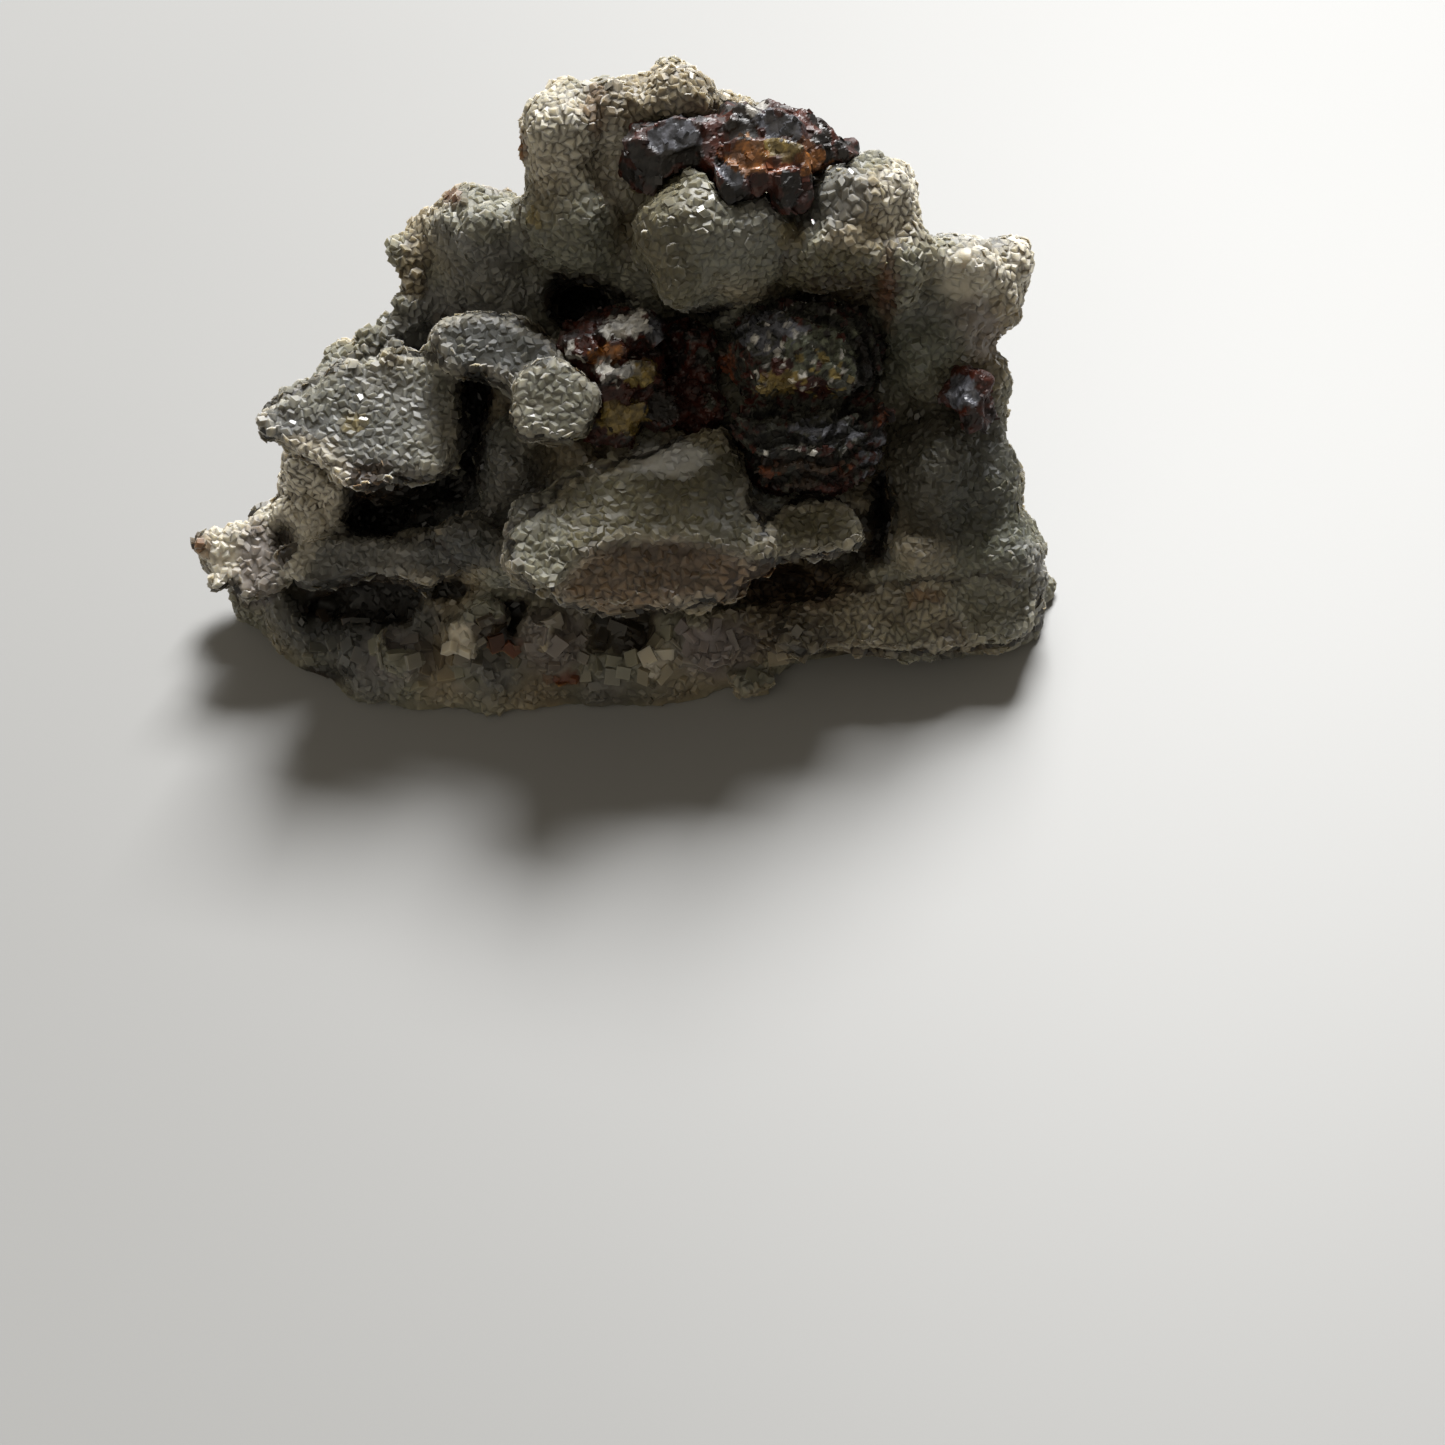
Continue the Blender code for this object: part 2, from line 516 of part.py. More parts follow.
def grown_crust(into):
    """The lobes, plates and chips of the crust in one skin, with its grain."""
    bm = bmesh.new()
    add_base_edge(bm)
    add_back_lobes(bm)
    for group in (CORE, CROWN, LEFT_SHOULDER, MIDDLE_BROW, RIGHT_SHOULDER, RIGHT_FLANK, LEFT_LEDGE, LEFT_FOOT,
                  MIDDLE_SLOPE, BROKEN_FRONT, KNOB):
        for lobe in group:
            add_lobe(bm, *lobe)
    for outline, front, thickness, lean in PLATES:
        add_plate(bm, outline, front, thickness, lean)
    add_crystals(bm, CHIPS)
    crust = new_object("smithsonite_crust", bm, into)
    remesh(crust, CRUST_VOXEL)
    roughen(crust.data)
    remesh(crust, CRUST_VOXEL)
    return crust


def hollows_and_sockets(nodules, into):
    """What is cut out of the crust: its hollows, and a socket for each body of sphalerite."""
    bm = bmesh.new()
    for hollow in HOLLOWS:
        add_lobe(bm, *hollow)
    for nodule in nodules:
        bm.from_mesh(grown_by_gap(nodule))
    hollows = new_object("hollows", bm, into)
    remesh(hollows, CRUST_VOXEL)
    return hollows


def smithsonite_crust(nodules, slot_material, into, cutters):
    crust = grown_crust(into)
    hollows = hollows_and_sockets(nodules, cutters)
    cut(crust, hollows)
    bake_modifiers(crust)
    remesh(crust, CRUST_VOXEL)
    keep_largest_piece(crust)
    thin_to(crust, CRUST_TRIANGLES)

    bm = bmesh.new()
    add_box(bm, Vector((0.0, 0.0, -GROUND_SIZE.z / 2)), GROUND_SIZE, Matrix.Identity(3))
    ground = new_object("ground", bm, cutters)
    cut(crust, ground)
    for cutter in (hollows, ground):
        cutter.hide_render = True
        cutter.display_type = "WIRE"
    finish(crust, slot_material)
    return crust


def main():
    clear_scene()
    specimen = collection("smithsonite_specimen")
    cutters = collection("cutters")
    pale = material("smithsonite", *SMITHSONITE_FINISH)
    dark = material("sphalerite", *SPHALERITE_FINISH)
    nodules = [sphalerite(name, dark, specimen) for name in SPHALERITE]
    smithsonite_crust(nodules, pale, specimen, cutters)


main()
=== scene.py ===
"""Finish of a smithsonite hand specimen: sugary druse over lobes and ledges, around dark resinous sphalerite.

Laid out as a Blender add-on and run as a script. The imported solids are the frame. Every visible piece is a
finer mesh grown from its solid, with crystals set on it by Geometry Nodes and colour painted on its points.
"""
import math

import bmesh
import bpy
import numpy as np
from bpy.props import FloatProperty, FloatVectorProperty, IntProperty, PointerProperty
from mathutils import Matrix, Vector, noise


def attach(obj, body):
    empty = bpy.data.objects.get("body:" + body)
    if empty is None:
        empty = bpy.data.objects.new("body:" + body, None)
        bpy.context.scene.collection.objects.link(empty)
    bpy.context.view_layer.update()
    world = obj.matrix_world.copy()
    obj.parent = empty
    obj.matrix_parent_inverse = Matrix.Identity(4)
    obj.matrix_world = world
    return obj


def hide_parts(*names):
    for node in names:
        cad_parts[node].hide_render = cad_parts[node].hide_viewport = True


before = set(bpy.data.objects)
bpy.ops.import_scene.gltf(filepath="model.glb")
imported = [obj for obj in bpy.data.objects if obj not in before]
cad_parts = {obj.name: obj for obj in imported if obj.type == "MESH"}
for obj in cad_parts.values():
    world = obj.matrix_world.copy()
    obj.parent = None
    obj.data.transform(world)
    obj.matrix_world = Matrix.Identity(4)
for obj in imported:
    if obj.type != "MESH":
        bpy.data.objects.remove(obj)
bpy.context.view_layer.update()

MM = 0.001

bl_info = {
    "name": "Smithsonite Specimen",
    "version": (1, 0, 0),
    "blender": (4, 5, 0),
    "location": "View3D > Sidebar > Specimen",
    "description": "Grows drusy smithsonite and sphalerite crystals on a packed hand specimen",
    "category": "Add Mesh",
}

# The sight line of the display face. Features are placed in mm right of and above its middle.
SIGHT_ELEVATION = math.radians(51.5)
SIGHT_ROLL = math.radians(-11.7)
EYE = Vector((0.0, -92.0, 98.0)) * MM
FACE_CENTRE = Vector((-1.6, -3.0, 13.0)) * MM
FACE_TURN = Matrix.Rotation(math.pi / 2 - SIGHT_ELEVATION, 3, "X") @ Matrix.Rotation(SIGHT_ROLL, 3, "Z")
CAMERA_LENS, CAMERA_SENSOR = 61.4, 36.0
# How far the floor reaches from the specimen, in m
FLOOR_REACH = 1.2
# About how far the eye is from the display face, in m
EYE_REACH = 0.13


def linear(hex_code):
    """An sRGB hex colour as linear RGB with alpha 1."""
    channels = [int(hex_code[i:i + 2], 16) / 255 for i in (1, 3, 5)]
    return tuple(c / 12.92 if c <= 0.04045 else ((c + 0.055) / 1.055) ** 2.4 for c in channels) + (1.0,)


def colour_property(name, description, hex_code):
    """A colour to choose, with an sRGB hex default."""
    return FloatVectorProperty(name=name, description=description, default=linear(hex_code), size=4,
                               subtype="COLOR", min=0.0, max=1.0)


class SpecimenSizes(bpy.types.PropertyGroup):
    """Sizes of the crystals and of the skin that they grow on."""

    skin_voxel: FloatProperty(
        name="Skin Grain", description="Spacing of the points of the smithsonite's skin",
        default=0.26 * MM, unit="LENGTH", precision=5)
    lump_size: FloatProperty(
        name="Lump Size", description="Width of the rounded lumps of the crust",
        default=1.5 * MM, unit="LENGTH", precision=5)
    lump_height: FloatProperty(
        name="Lump Height", description="How far the lumps stand out",
        default=0.42 * MM, unit="LENGTH", precision=5)
    pit_size: FloatProperty(
        name="Pit Size", description="Width of the small pits between the crystals",
        default=0.8 * MM, unit="LENGTH", precision=5)
    pit_depth: FloatProperty(
        name="Pit Depth", description="How deep the small pits are",
        default=0.34 * MM, unit="LENGTH", precision=5)
    druse_spacing: FloatProperty(
        name="Druse Spacing", description="Distance between the crystals on the display face",
        default=0.34 * MM, unit="LENGTH", precision=5)
    druse_size: FloatProperty(
        name="Druse Crystal", description="Edge length of a druse crystal",
        default=0.37 * MM, unit="LENGTH", precision=5)
    back_spacing: FloatProperty(
        name="Back Spacing", description="Distance between the crystals on the hidden side",
        default=0.42 * MM, unit="LENGTH", precision=5)
    sphalerite_voxel: FloatProperty(
        name="Sphalerite Grain", description="Spacing of the points of the sphalerite's skin",
        default=0.13 * MM, unit="LENGTH", precision=5)
    seed: IntProperty(name="Seed", description="Seed of every random draw", default=7)


class SpecimenColours(bpy.types.PropertyGroup):
    """Colours of the smithsonite and the sphalerite, as in diffuse daylight. The palest also serves as
    painted light, the brown and the black also as painted shade.
    """

    # Painted light as well as pale crystals: light coming through thin crust, and light on the neck and on
    # the wall, painted as a pale colour
    cream: colour_property("Cream", "Brightest crystals, where light comes through the crust", "#d9ceb7")
    sand: colour_property("Sand", "Pale tan crystals of the crown and the rims", "#93866d")
    ash: colour_property("Ash", "Grey crystals of the crown and the shoulders", "#7c7a6a")
    ice: colour_property("Ice", "Pale bluish glassy smithsonite", "#c0bfb8")
    slate: colour_property("Slate", "Blue-grey smithsonite of the ledges", "#6f6e69")
    moss: colour_property("Moss", "Green-grey smithsonite of the right flank", "#4f5243")
    olive: colour_property("Olive", "Olive-tan smithsonite under the right shoulder", "#58523a")
    # Also painted shade: the brown of shallow crevices, cracks, plate-edge grooves and some daubs, over real
    # iron stain
    umber_and_shade: colour_property("Umber", "Brown iron-stained hollows", "#2f2215")
    # Also painted shade: the black of deep hollows, grooves and daubs, over their real dark lining
    lining_and_shade: colour_property("Night", "Nearly black linings of the deep hollows", "#0e0f0c")
    rust: colour_property("Rust", "Red-brown iron stain", "#5a2f17")
    amber: colour_property("Amber", "Orange iron stain", "#6e4318")
    straw: colour_property("Straw", "Yellow stain", "#756638")
    lilac: colour_property("Lilac", "Faintly violet glassy smithsonite", "#766d69")
    pitch: colour_property("Pitch", "Brown-black sphalerite", "#16110d")
    graphite: colour_property("Graphite", "Dull grey-green weathered sphalerite", "#37372f")
    steel: colour_property("Steel", "Blue-grey submetallic sphalerite", "#515258")
    garnet: colour_property("Garnet", "Red-brown sphalerite", "#3a170c")
    silver: colour_property("Silver", "Silver-white cleavage flakes", "#a9a69f")
    gold: colour_property("Gold", "Yellow-brown flakes", "#6b5a2c")
    bark: colour_property("Bark", "Brown broken section of the crust", "#77614a")
    fog: colour_property("Fog", "Dark blue-grey waxy smithsonite", "#4c4d4a")


# Each daub: colour, middle right and up, half width and half height in mm, strength
# The palest daubs are painted light: light coming through the thin crown, rims and tips, and on the neck and
# the shaded wall
CRUST_DAUBS = [
    ("cream", -2.9, 13.0, 2.8, 3.0, 0.55),
    ("sand", 2.2, 14.6, 3.4, 2.4, 0.8),
    ("sand", 6.3, 14.4, 1.6, 0.9, 0.7),
    # Painted light: the neck under the crown, which lies in shade
    ("cream", -0.1, 11.2, 1.3, 2.3, 1.0),
    ("amber", -5.0, 12.4, 0.4, 1.0, 0.95),
    ("bark", -1.3, 14.2, 0.7, 1.4, 0.8),
    ("slate", -7.0, 8.2, 2.6, 2.6, 0.7),
    ("ash", -6.6, 9.0, 2.2, 1.4, 0.8),
    ("lilac", -5.6, 10.5, 1.2, 0.5, 0.8),
    ("rust", -8.4, 10.0, 0.6, 0.5, 0.7),
    ("sand", -10.3, 6.6, 0.8, 1.9, 0.8),
    ("ash", -2.6, 8.3, 2.6, 2.8, 0.55),
    ("moss", -2.6, 7.4, 2.6, 2.0, 0.35),
    ("straw", -4.3, 9.0, 0.45, 0.6, 0.8),
    ("slate", -6.5, 5.3, 3.2, 1.4, 0.7),
    ("graphite", -6.4, 2.8, 3.0, 1.6, 0.5),
    # Painted shade: the black daubs sit in hollows, over their real dark lining
    ("lining_and_shade", -2.2, 4.8, 2.2, 1.6, 0.95),
    ("olive", 2.6, 8.6, 3.0, 3.0, 0.7),
    ("ash", 5.6, 7.6, 2.6, 2.4, 0.6),
    ("olive", 2.6, 5.5, 1.4, 1.2, 0.8),
    ("straw", 8.3, 8.1, 0.8, 0.8, 0.6),
    ("slate", 10.6, 10.2, 1.8, 2.0, 0.8),
    ("cream", 13.7, 9.8, 1.4, 2.2, 0.7),
    ("olive", 10.6, 5.8, 3.4, 1.8, 0.85),
    ("umber_and_shade", 11.4, 5.2, 2.6, 1.0, 0.6),
    ("rust", 13.2, 5.2, 0.5, 2.2, 0.6),
    ("cream", 17.4, 6.2, 1.9, 1.7, 0.6),
    ("cream", 20.0, 6.4, 1.2, 2.2, 0.95),
    ("lilac", 17.4, 3.4, 1.6, 1.8, 0.6),
    ("moss", 14.8, 2.0, 2.6, 2.6, 0.7),
    ("fog", -12.6, -0.4, 4.2, 2.2, 0.6),
    ("ash", -15.6, 0.4, 1.8, 1.6, 0.5),
    ("straw", -13.3, -1.3, 0.8, 0.6, 0.7),
    ("sand", -15.8, -2.5, 2.0, 0.7, 0.7),
    ("umber_and_shade", -13.0, -4.0, 3.2, 1.0, 0.9),
    ("umber_and_shade", -12.6, -4.3, 3.0, 0.6, 0.6),
    # Painted light: the wall in the ledge's shade
    ("cream", -15.6, -4.6, 2.2, 2.4, 1.0),
    ("lining_and_shade", -10.8, -5.5, 3.6, 1.5, 0.95),
    ("lining_and_shade", -7.4, -1.2, 1.0, 3.2, 0.95),
    ("fog", -6.4, -4.8, 3.0, 3.8, 0.85),
    ("fog", -8.4, -7.6, 2.6, 1.2, 0.95),
    ("cream", -20.2, -7.8, 1.6, 1.9, 0.95),
    ("amber", -20.9, -7.3, 0.5, 0.6, 0.9),
    ("lilac", -18.0, -8.2, 1.3, 2.4, 0.8),
    ("lining_and_shade", -16.7, -7.2, 0.7, 1.2, 0.8),
    ("slate", -12.6, -7.9, 3.2, 1.2, 0.7),
    ("fog", -13.0, -11.0, 4.8, 2.4, 0.9),
    ("lining_and_shade", -13.6, -10.2, 3.8, 1.8, 0.8),
    ("lining_and_shade", -14.6, -13.6, 1.8, 0.5, 0.9),
    ("lilac", -11.0, -12.8, 2.0, 1.4, 0.5),
    ("ice", 2.4, -3.0, 2.2, 0.9, 0.95),
    ("graphite", 5.4, -5.0, 1.5, 2.8, 0.55),
    ("ash", -4.2, -7.4, 1.8, 2.4, 0.7),
    ("umber_and_shade", 1.6, -7.5, 4.4, 0.5, 0.6),
    ("umber_and_shade", 2.0, -8.9, 2.4, 0.8, 0.35),
    ("bark", 8.2, -9.4, 3.6, 1.3, 0.8),
    ("lining_and_shade", 12.8, -5.4, 0.9, 2.4, 0.95),
    ("lining_and_shade", 12.3, -7.7, 1.2, 0.8, 0.9),
    ("moss", 18.4, -6.0, 2.4, 3.6, 0.7),
    ("graphite", 16.2, -3.6, 3.6, 4.4, 0.85),
    ("umber_and_shade", 7.6, -11.6, 3.6, 1.3, 0.65),
    ("sand", 14.2, -10.4, 3.0, 1.4, 0.5),
    ("amber", 15.0, -9.8, 0.9, 0.5, 0.5),
    ("ash", 18.6, -10.2, 2.6, 2.4, 0.7),
    ("umber_and_shade", 16.4, -11.6, 1.0, 0.8, 0.5),
    ("umber_and_shade", -5.4, -12.2, 4.4, 2.2, 0.55),
    ("umber_and_shade", -0.3, -11.6, 2.0, 1.4, 0.3),
    ("sand", 1.8, -13.2, 1.0, 1.0, 0.7),
    ("lilac", 4.8, -12.6, 2.4, 1.6, 0.7),
    ("sand", 6.2, -14.2, 1.4, 0.7, 0.6),
    ("lilac", -3.4, -12.0, 1.8, 1.8, 0.6),
    ("sand", -8.0, -11.9, 0.9, 0.8, 0.7),
    ("slate", -6.8, -13.8, 1.8, 1.2, 0.6),
    ("umber_and_shade", -6.4, -11.4, 1.0, 1.2, 0.7),
    ("umber_and_shade", -1.0, -14.6, 5.0, 0.8, 0.4),
]

NODULE_DAUBS = [
    ("garnet", 6.6, 11.6, 3.6, 1.6, 0.6),
    ("amber", 6.9, 11.9, 2.2, 0.6, 0.95),
    ("straw", 6.6, 12.5, 1.9, 0.4, 0.8),
    ("garnet", 7.0, 13.1, 2.4, 0.7, 0.4),
    ("silver", 6.2, 14.2, 1.0, 0.35, 0.6),
    ("amber", 9.5, 11.8, 0.8, 0.6, 0.9),
    ("garnet", 8.3, 10.0, 0.7, 1.4, 0.5),
    ("silver", 0.6, 3.6, 1.3, 0.7, 0.6),
    ("silver", 0.2, 1.3, 1.3, 0.7, 0.55),
    ("silver", -2.3, 2.3, 0.7, 0.6, 0.7),
    ("amber", -1.0, 2.1, 0.8, 0.7, 0.7),
    ("garnet", 0.1, 2.2, 0.7, 0.5, 0.8),
    ("straw", 0.9, 0.9, 0.7, 0.4, 0.7),
    ("garnet", 0.3, -0.1, 1.3, 0.5, 0.7),
    ("gold", -0.1, -1.0, 1.4, 1.0, 0.85),
    ("graphite", 9.0, 1.5, 5.0, 4.2, 0.75),
    ("steel", 7.3, 3.2, 1.7, 1.1, 0.8),
    ("moss", 10.2, 2.2, 2.4, 1.6, 0.45),
    ("gold", 7.9, 0.7, 1.4, 0.65, 0.9),
    ("garnet", 7.8, 1.5, 0.6, 0.5, 0.9),
    ("garnet", 9.5, 0.4, 0.9, 0.6, 0.9),
    ("straw", 9.9, 1.2, 1.6, 1.6, 0.25),
    ("moss", 10.2, 2.6, 2.0, 1.2, 0.4),
    ("silver", 9.0, 2.6, 3.2, 2.6, 0.1),
    ("rust", 5.2, 1.4, 0.45, 1.0, 0.85),
    ("pitch", 12.0, 2.2, 0.7, 1.8, 0.9),
    ("graphite", 9.0, -2.4, 4.0, 2.4, 0.6),
    ("steel", 10.1, -1.7, 2.0, 0.7, 0.9),
    ("silver", 9.3, -2.7, 2.6, 0.2, 0.35),
    ("rust", 7.4, -3.6, 0.7, 0.8, 0.7),
    ("umber_and_shade", 9.0, -3.7, 1.4, 1.0, 0.8),
    ("rust", 10.9, -3.7, 0.6, 0.4, 0.8),
    ("garnet", 10.8, -4.5, 1.0, 0.7, 0.9),
    ("rust", 13.0, -0.9, 0.8, 0.7, 0.6),
    ("steel", 12.6, -3.4, 0.8, 2.0, 0.6),
    ("steel", 17.0, 0.4, 0.7, 0.9, 0.7),
]
# Grooves of the banded nodule: middle right and up, inner and outer radius and spacing in mm
BANDS = [
    (8.2, 1.0, 2.7, 5.4, 0.85),
    (9.2, 7.4, 7.9, 12.6, 0.95),
]
# How deep the grooves are, how far they waver, how soon they fade at the ends, in mm, and how dark the
# painted shade in them is
BAND_GROOVE, BAND_WAVER, BAND_FADE, BAND_SHADE = 0.28, 0.25, 0.3, 0.85
# Edges of daubs and crevices wander this far, in waves this long, in mm
RAGGED_REACH, RAGGED_WAVE = 0.25, 0.9
SKIN_GROUND = ("ash", "sand", "slate")
NODULE_GROUND = ("pitch", "garnet", "pitch")
PATCH_SIZE = 4.5
# Iron brown of the seams; at the feet of the druse crystals it is also painted shade between them
IRON_STAIN_AND_SHADE = "#2c2016"

# Crevices and cavities: how deep they go behind the skin in mm, and their outline on the face
CREVICES = [
    (2.4, [(-8.1, 1.3), (-6.5, 1.3), (-6.3, 0.2), (-6.5, -0.7), (-6.9, -1.4), (-6.8, -2.6), (-7.0, -4.4),
           (-7.7, -4.3), (-8.1, -3.0), (-8.3, -1.9), (-8.0, -0.8)]),
    (2.0, [(-14.0, -4.4), (-12.9, -4.8), (-11.6, -4.8), (-10.1, -4.1), (-8.8, -3.8), (-8.2, -3.9),
           (-7.2, -4.0), (-7.3, -4.5), (-7.8, -4.7), (-8.0, -5.2), (-8.8, -5.3), (-9.6, -5.7),
           (-10.6, -5.9), (-11.4, -6.9), (-12.4, -7.0), (-13.6, -6.9), (-13.9, -5.9), (-13.5, -5.3)]),
    (1.6, [(-15.5, -9.9), (-14.5, -9.6), (-13.7, -9.1), (-12.6, -8.9), (-11.4, -8.9), (-10.3, -9.2),
           (-8.9, -9.0), (-7.9, -8.8), (-7.0, -9.6), (-8.2, -10.1), (-9.6, -9.9), (-10.6, -11.4),
           (-12.2, -11.2), (-14.4, -11.0), (-16.0, -10.8)]),
    (1.4, [(-6.6, -9.6), (-5.6, -9.8), (-4.5, -9.9), (-4.5, -10.6), (-5.2, -11.0), (-5.1, -12.5),
           (-6.4, -12.2), (-6.7, -11.5), (-5.7, -11.0)]),
    (1.2, [(-3.9, 4.2), (-3.6, 6.4), (-1.6, 6.1), (0.4, 5.4), (0.9, 4.7), (-0.6, 4.1), (-1.8, 3.2),
           (-2.9, 3.1)]),
    (1.6, [(1.2, 5.0), (3.0, 4.2), (4.6, 4.7), (6.4, 5.0), (5.4, 4.2), (4.6, 3.6), (3.6, 4.0), (2.2, 4.2)]),
    (1.6, [(12.4, -3.2), (13.2, -3.6), (13.5, -6.8), (12.8, -8.0), (11.8, -8.0), (12.4, -6.6),
           (12.2, -5.4)]),
    (0.45, [(6.4, -8.3), (8.4, -7.9), (9.4, -7.9), (10.8, -7.8), (12.4, -7.6), (11.6, -8.6), (9.4, -8.6),
            (8.2, -9.6), (6.4, -9.4), (4.8, -10.1), (4.2, -9.9), (5.6, -9.0)]),
    (0.9, [(-1.8, -10.5), (0.2, -10.3), (1.6, -10.1), (1.8, -12.4), (0.4, -12.9), (-1.4, -12.6)]),
    (0.9, [(-15.6, -13.3), (-14.6, -13.5), (-13.4, -14.2), (-12.5, -15.0), (-13.2, -14.8), (-14.3, -14.1),
           (-15.5, -13.8)]),
    (0.7, [(-17.2, -6.6), (-16.5, -6.3), (-15.9, -7.0), (-16.2, -8.2), (-16.9, -8.9), (-17.3, -8.0)]),
]

# Cracks between lobes: how deep in mm, and their path on the face
CRACKS = [
    (0.5, [(-0.9, 15.6), (-1.4, 14.8), (-1.1, 13.8), (-0.9, 12.6)]),
    (0.4, [(-1.0, 12.9), (-1.4, 11.8), (-3.0, 10.9), (-4.6, 10.6)]),
    (0.5, [(-4.9, 10.5), (-5.0, 8.8), (-4.6, 7.2), (-4.0, 6.2)]),
    (0.5, [(0.0, 9.2), (0.4, 7.6), (0.1, 6.4)]),
    (0.6, [(9.2, 9.6), (8.6, 8.2), (8.0, 7.0), (7.8, 5.8)]),
    (0.5, [(13.0, 7.2), (13.7, 5.6), (13.3, 4.4), (12.8, 3.4)]),
    (0.4, [(15.1, 8.0), (15.5, 6.6), (15.0, 5.0)]),
    (0.4, [(-10.0, 8.6), (-9.4, 6.8), (-9.8, 5.2)]),
    (0.4, [(14.0, -0.6), (15.4, -1.4), (17.2, -1.8)]),
    (0.3, [(13.6, -9.0), (16.2, -8.8), (18.8, -8.6), (20.4, -9.2)]),
    (0.35, [(9.6, -10.2), (11.4, -10.8), (12.4, -12.0)]),
    (0.35, [(3.4, -10.2), (2.6, -11.4), (2.9, -13.0)]),
    (0.3, [(-9.2, -10.2), (-9.0, -11.6), (-9.6, -13.0)]),
]
CRACK_WIDTH = 0.22
# A groove beside each plate's edge sets it off: how deep and how wide, in mm
EDGE_DEPTH, EDGE_REACH = 1.2, 0.45

# Large flat-faced crystals: tint, outline on the face, how far the front stands out in mm, and how far the
# top and the right side lean back in degrees
TOP_FACES = [
    ("steel", [(0.8, 12.9), (1.7, 13.6), (2.6, 13.9), (3.4, 13.6), (3.9, 13.5), (3.6, 12.5), (2.8, 12.3),
               (1.9, 11.9), (1.5, 12.4)], 9.9, 0, -16),
    ("pitch", [(-0.1, 12.6), (0.8, 12.7), (1.8, 12.0), (1.9, 10.9), (1.5, 10.0), (1.0, 10.3), (0.7, 11.3)],
     9.4, -24, -14),
    ("pitch", [(1.8, 12.1), (3.7, 12.6), (3.9, 11.5), (2.9, 11.4), (1.9, 10.8)], 9.5, -14, 12),
    ("garnet", [(3.8, 13.5), (4.8, 13.7), (4.9, 12.0), (4.5, 11.4), (3.9, 11.9)], 9.6, 5, 22),
    ("steel", [(4.7, 11.3), (5.2, 11.8), (6.0, 11.1), (6.2, 10.5), (5.4, 10.4)], 10.3, -6, -18),
    ("pitch", [(4.7, 11.2), (5.4, 10.5), (6.2, 10.6), (6.2, 10.0), (5.2, 9.5), (4.8, 10.2)], 10.3, -30, 6),
    ("pitch", [(5.0, 13.9), (5.8, 14.6), (6.8, 14.0), (6.6, 13.0), (5.4, 12.8)], 9.2, -8, -20),
    ("steel", [(6.6, 13.7), (7.6, 14.3), (8.8, 13.6), (8.9, 12.9), (7.2, 12.7)], 9.4, -12, -16),
    ("amber", [(5.0, 12.6), (5.9, 12.9), (6.9, 12.7), (7.0, 11.9), (5.9, 11.4),
               (5.1, 11.7)], 10.2, -6, -14),
    ("gold", [(6.8, 12.9), (8.0, 12.8), (8.9, 12.4), (8.4, 11.8), (7.1, 12.0)], 10.1, -4, -16),
    ("rust", [(7.0, 12.0), (8.4, 11.8), (8.8, 11.2), (7.6, 10.9), (6.9, 11.3)], 10.1, -16, 10),
    ("pitch", [(7.6, 11.1), (8.8, 11.3), (8.9, 10.4), (8.3, 9.1), (7.8, 9.8)], 10.4, -12, 18),
    ("garnet", [(6.1, 11.2), (7.0, 11.4), (7.4, 10.6), (6.7, 9.9), (6.2, 10.3)], 10.2, -22, -10),
    ("amber", [(8.9, 12.6), (9.8, 12.7), (10.2, 12.0), (9.7, 11.3), (8.9, 11.4)], 9.2, -6, 20),
    ("pitch", [(10.1, 12.1), (10.7, 12.7), (11.4, 12.1), (10.9, 11.7)], 8.5, -10, -20),
]
LEFT_FACES = [
    ("silver", [(-1.3, 3.3), (-0.6, 3.9), (0.1, 3.7), (0.5, 4.3), (1.2, 4.5), (1.0, 3.9), (1.6, 3.4),
                (0.8, 3.2), (0.3, 2.9), (-0.2, 3.3), (-0.7, 2.9)], 5.2, 24, -6),
    ("steel", [(1.1, 4.3), (1.8, 3.9), (2.2, 3.1), (1.6, 2.5), (1.3, 3.2)], 4.9, 6, 26),
    ("garnet", [(-2.4, 3.0), (-1.6, 3.2), (-1.2, 2.4), (-1.9, 1.9), (-2.5, 2.3)], 5.3, 12, -22),
    ("amber", [(-0.9, 2.6), (-0.2, 2.8), (0.3, 2.3), (-0.3, 1.9), (-0.8, 2.0)], 5.5, -14, -8),
    ("silver", [(-1.4, 1.6), (-0.9, 2.0), (-0.4, 1.5), (0.2, 1.7), (0.5, 1.2), (-0.1, 0.9), (-0.5, 1.1),
                (-1.1, 0.8)], 5.5, 20, -12),
    ("gold", [(0.5, 1.8), (1.5, 1.9), (1.8, 1.0), (1.1, 0.6), (0.7, 1.1)], 5.3, 10, 14),
    ("garnet", [(-1.3, 0.5), (-0.2, 0.6), (0.6, 0.3), (0.2, -0.4), (-0.9, -0.3)], 5.1, -20, 4),
    ("gold", [(-0.9, -0.3), (0.3, -0.4), (1.2, -0.2), (1.0, -1.0), (0.3, -1.3), (0.4, -1.8), (-0.5, -1.7),
              (-1.0, -1.1)], 5.0, -10, -8),
    ("pitch", [(1.4, 0.4), (2.6, 0.2), (3.0, -0.9), (2.0, -1.4), (1.2, -0.9)], 4.3, 10, 20),
]
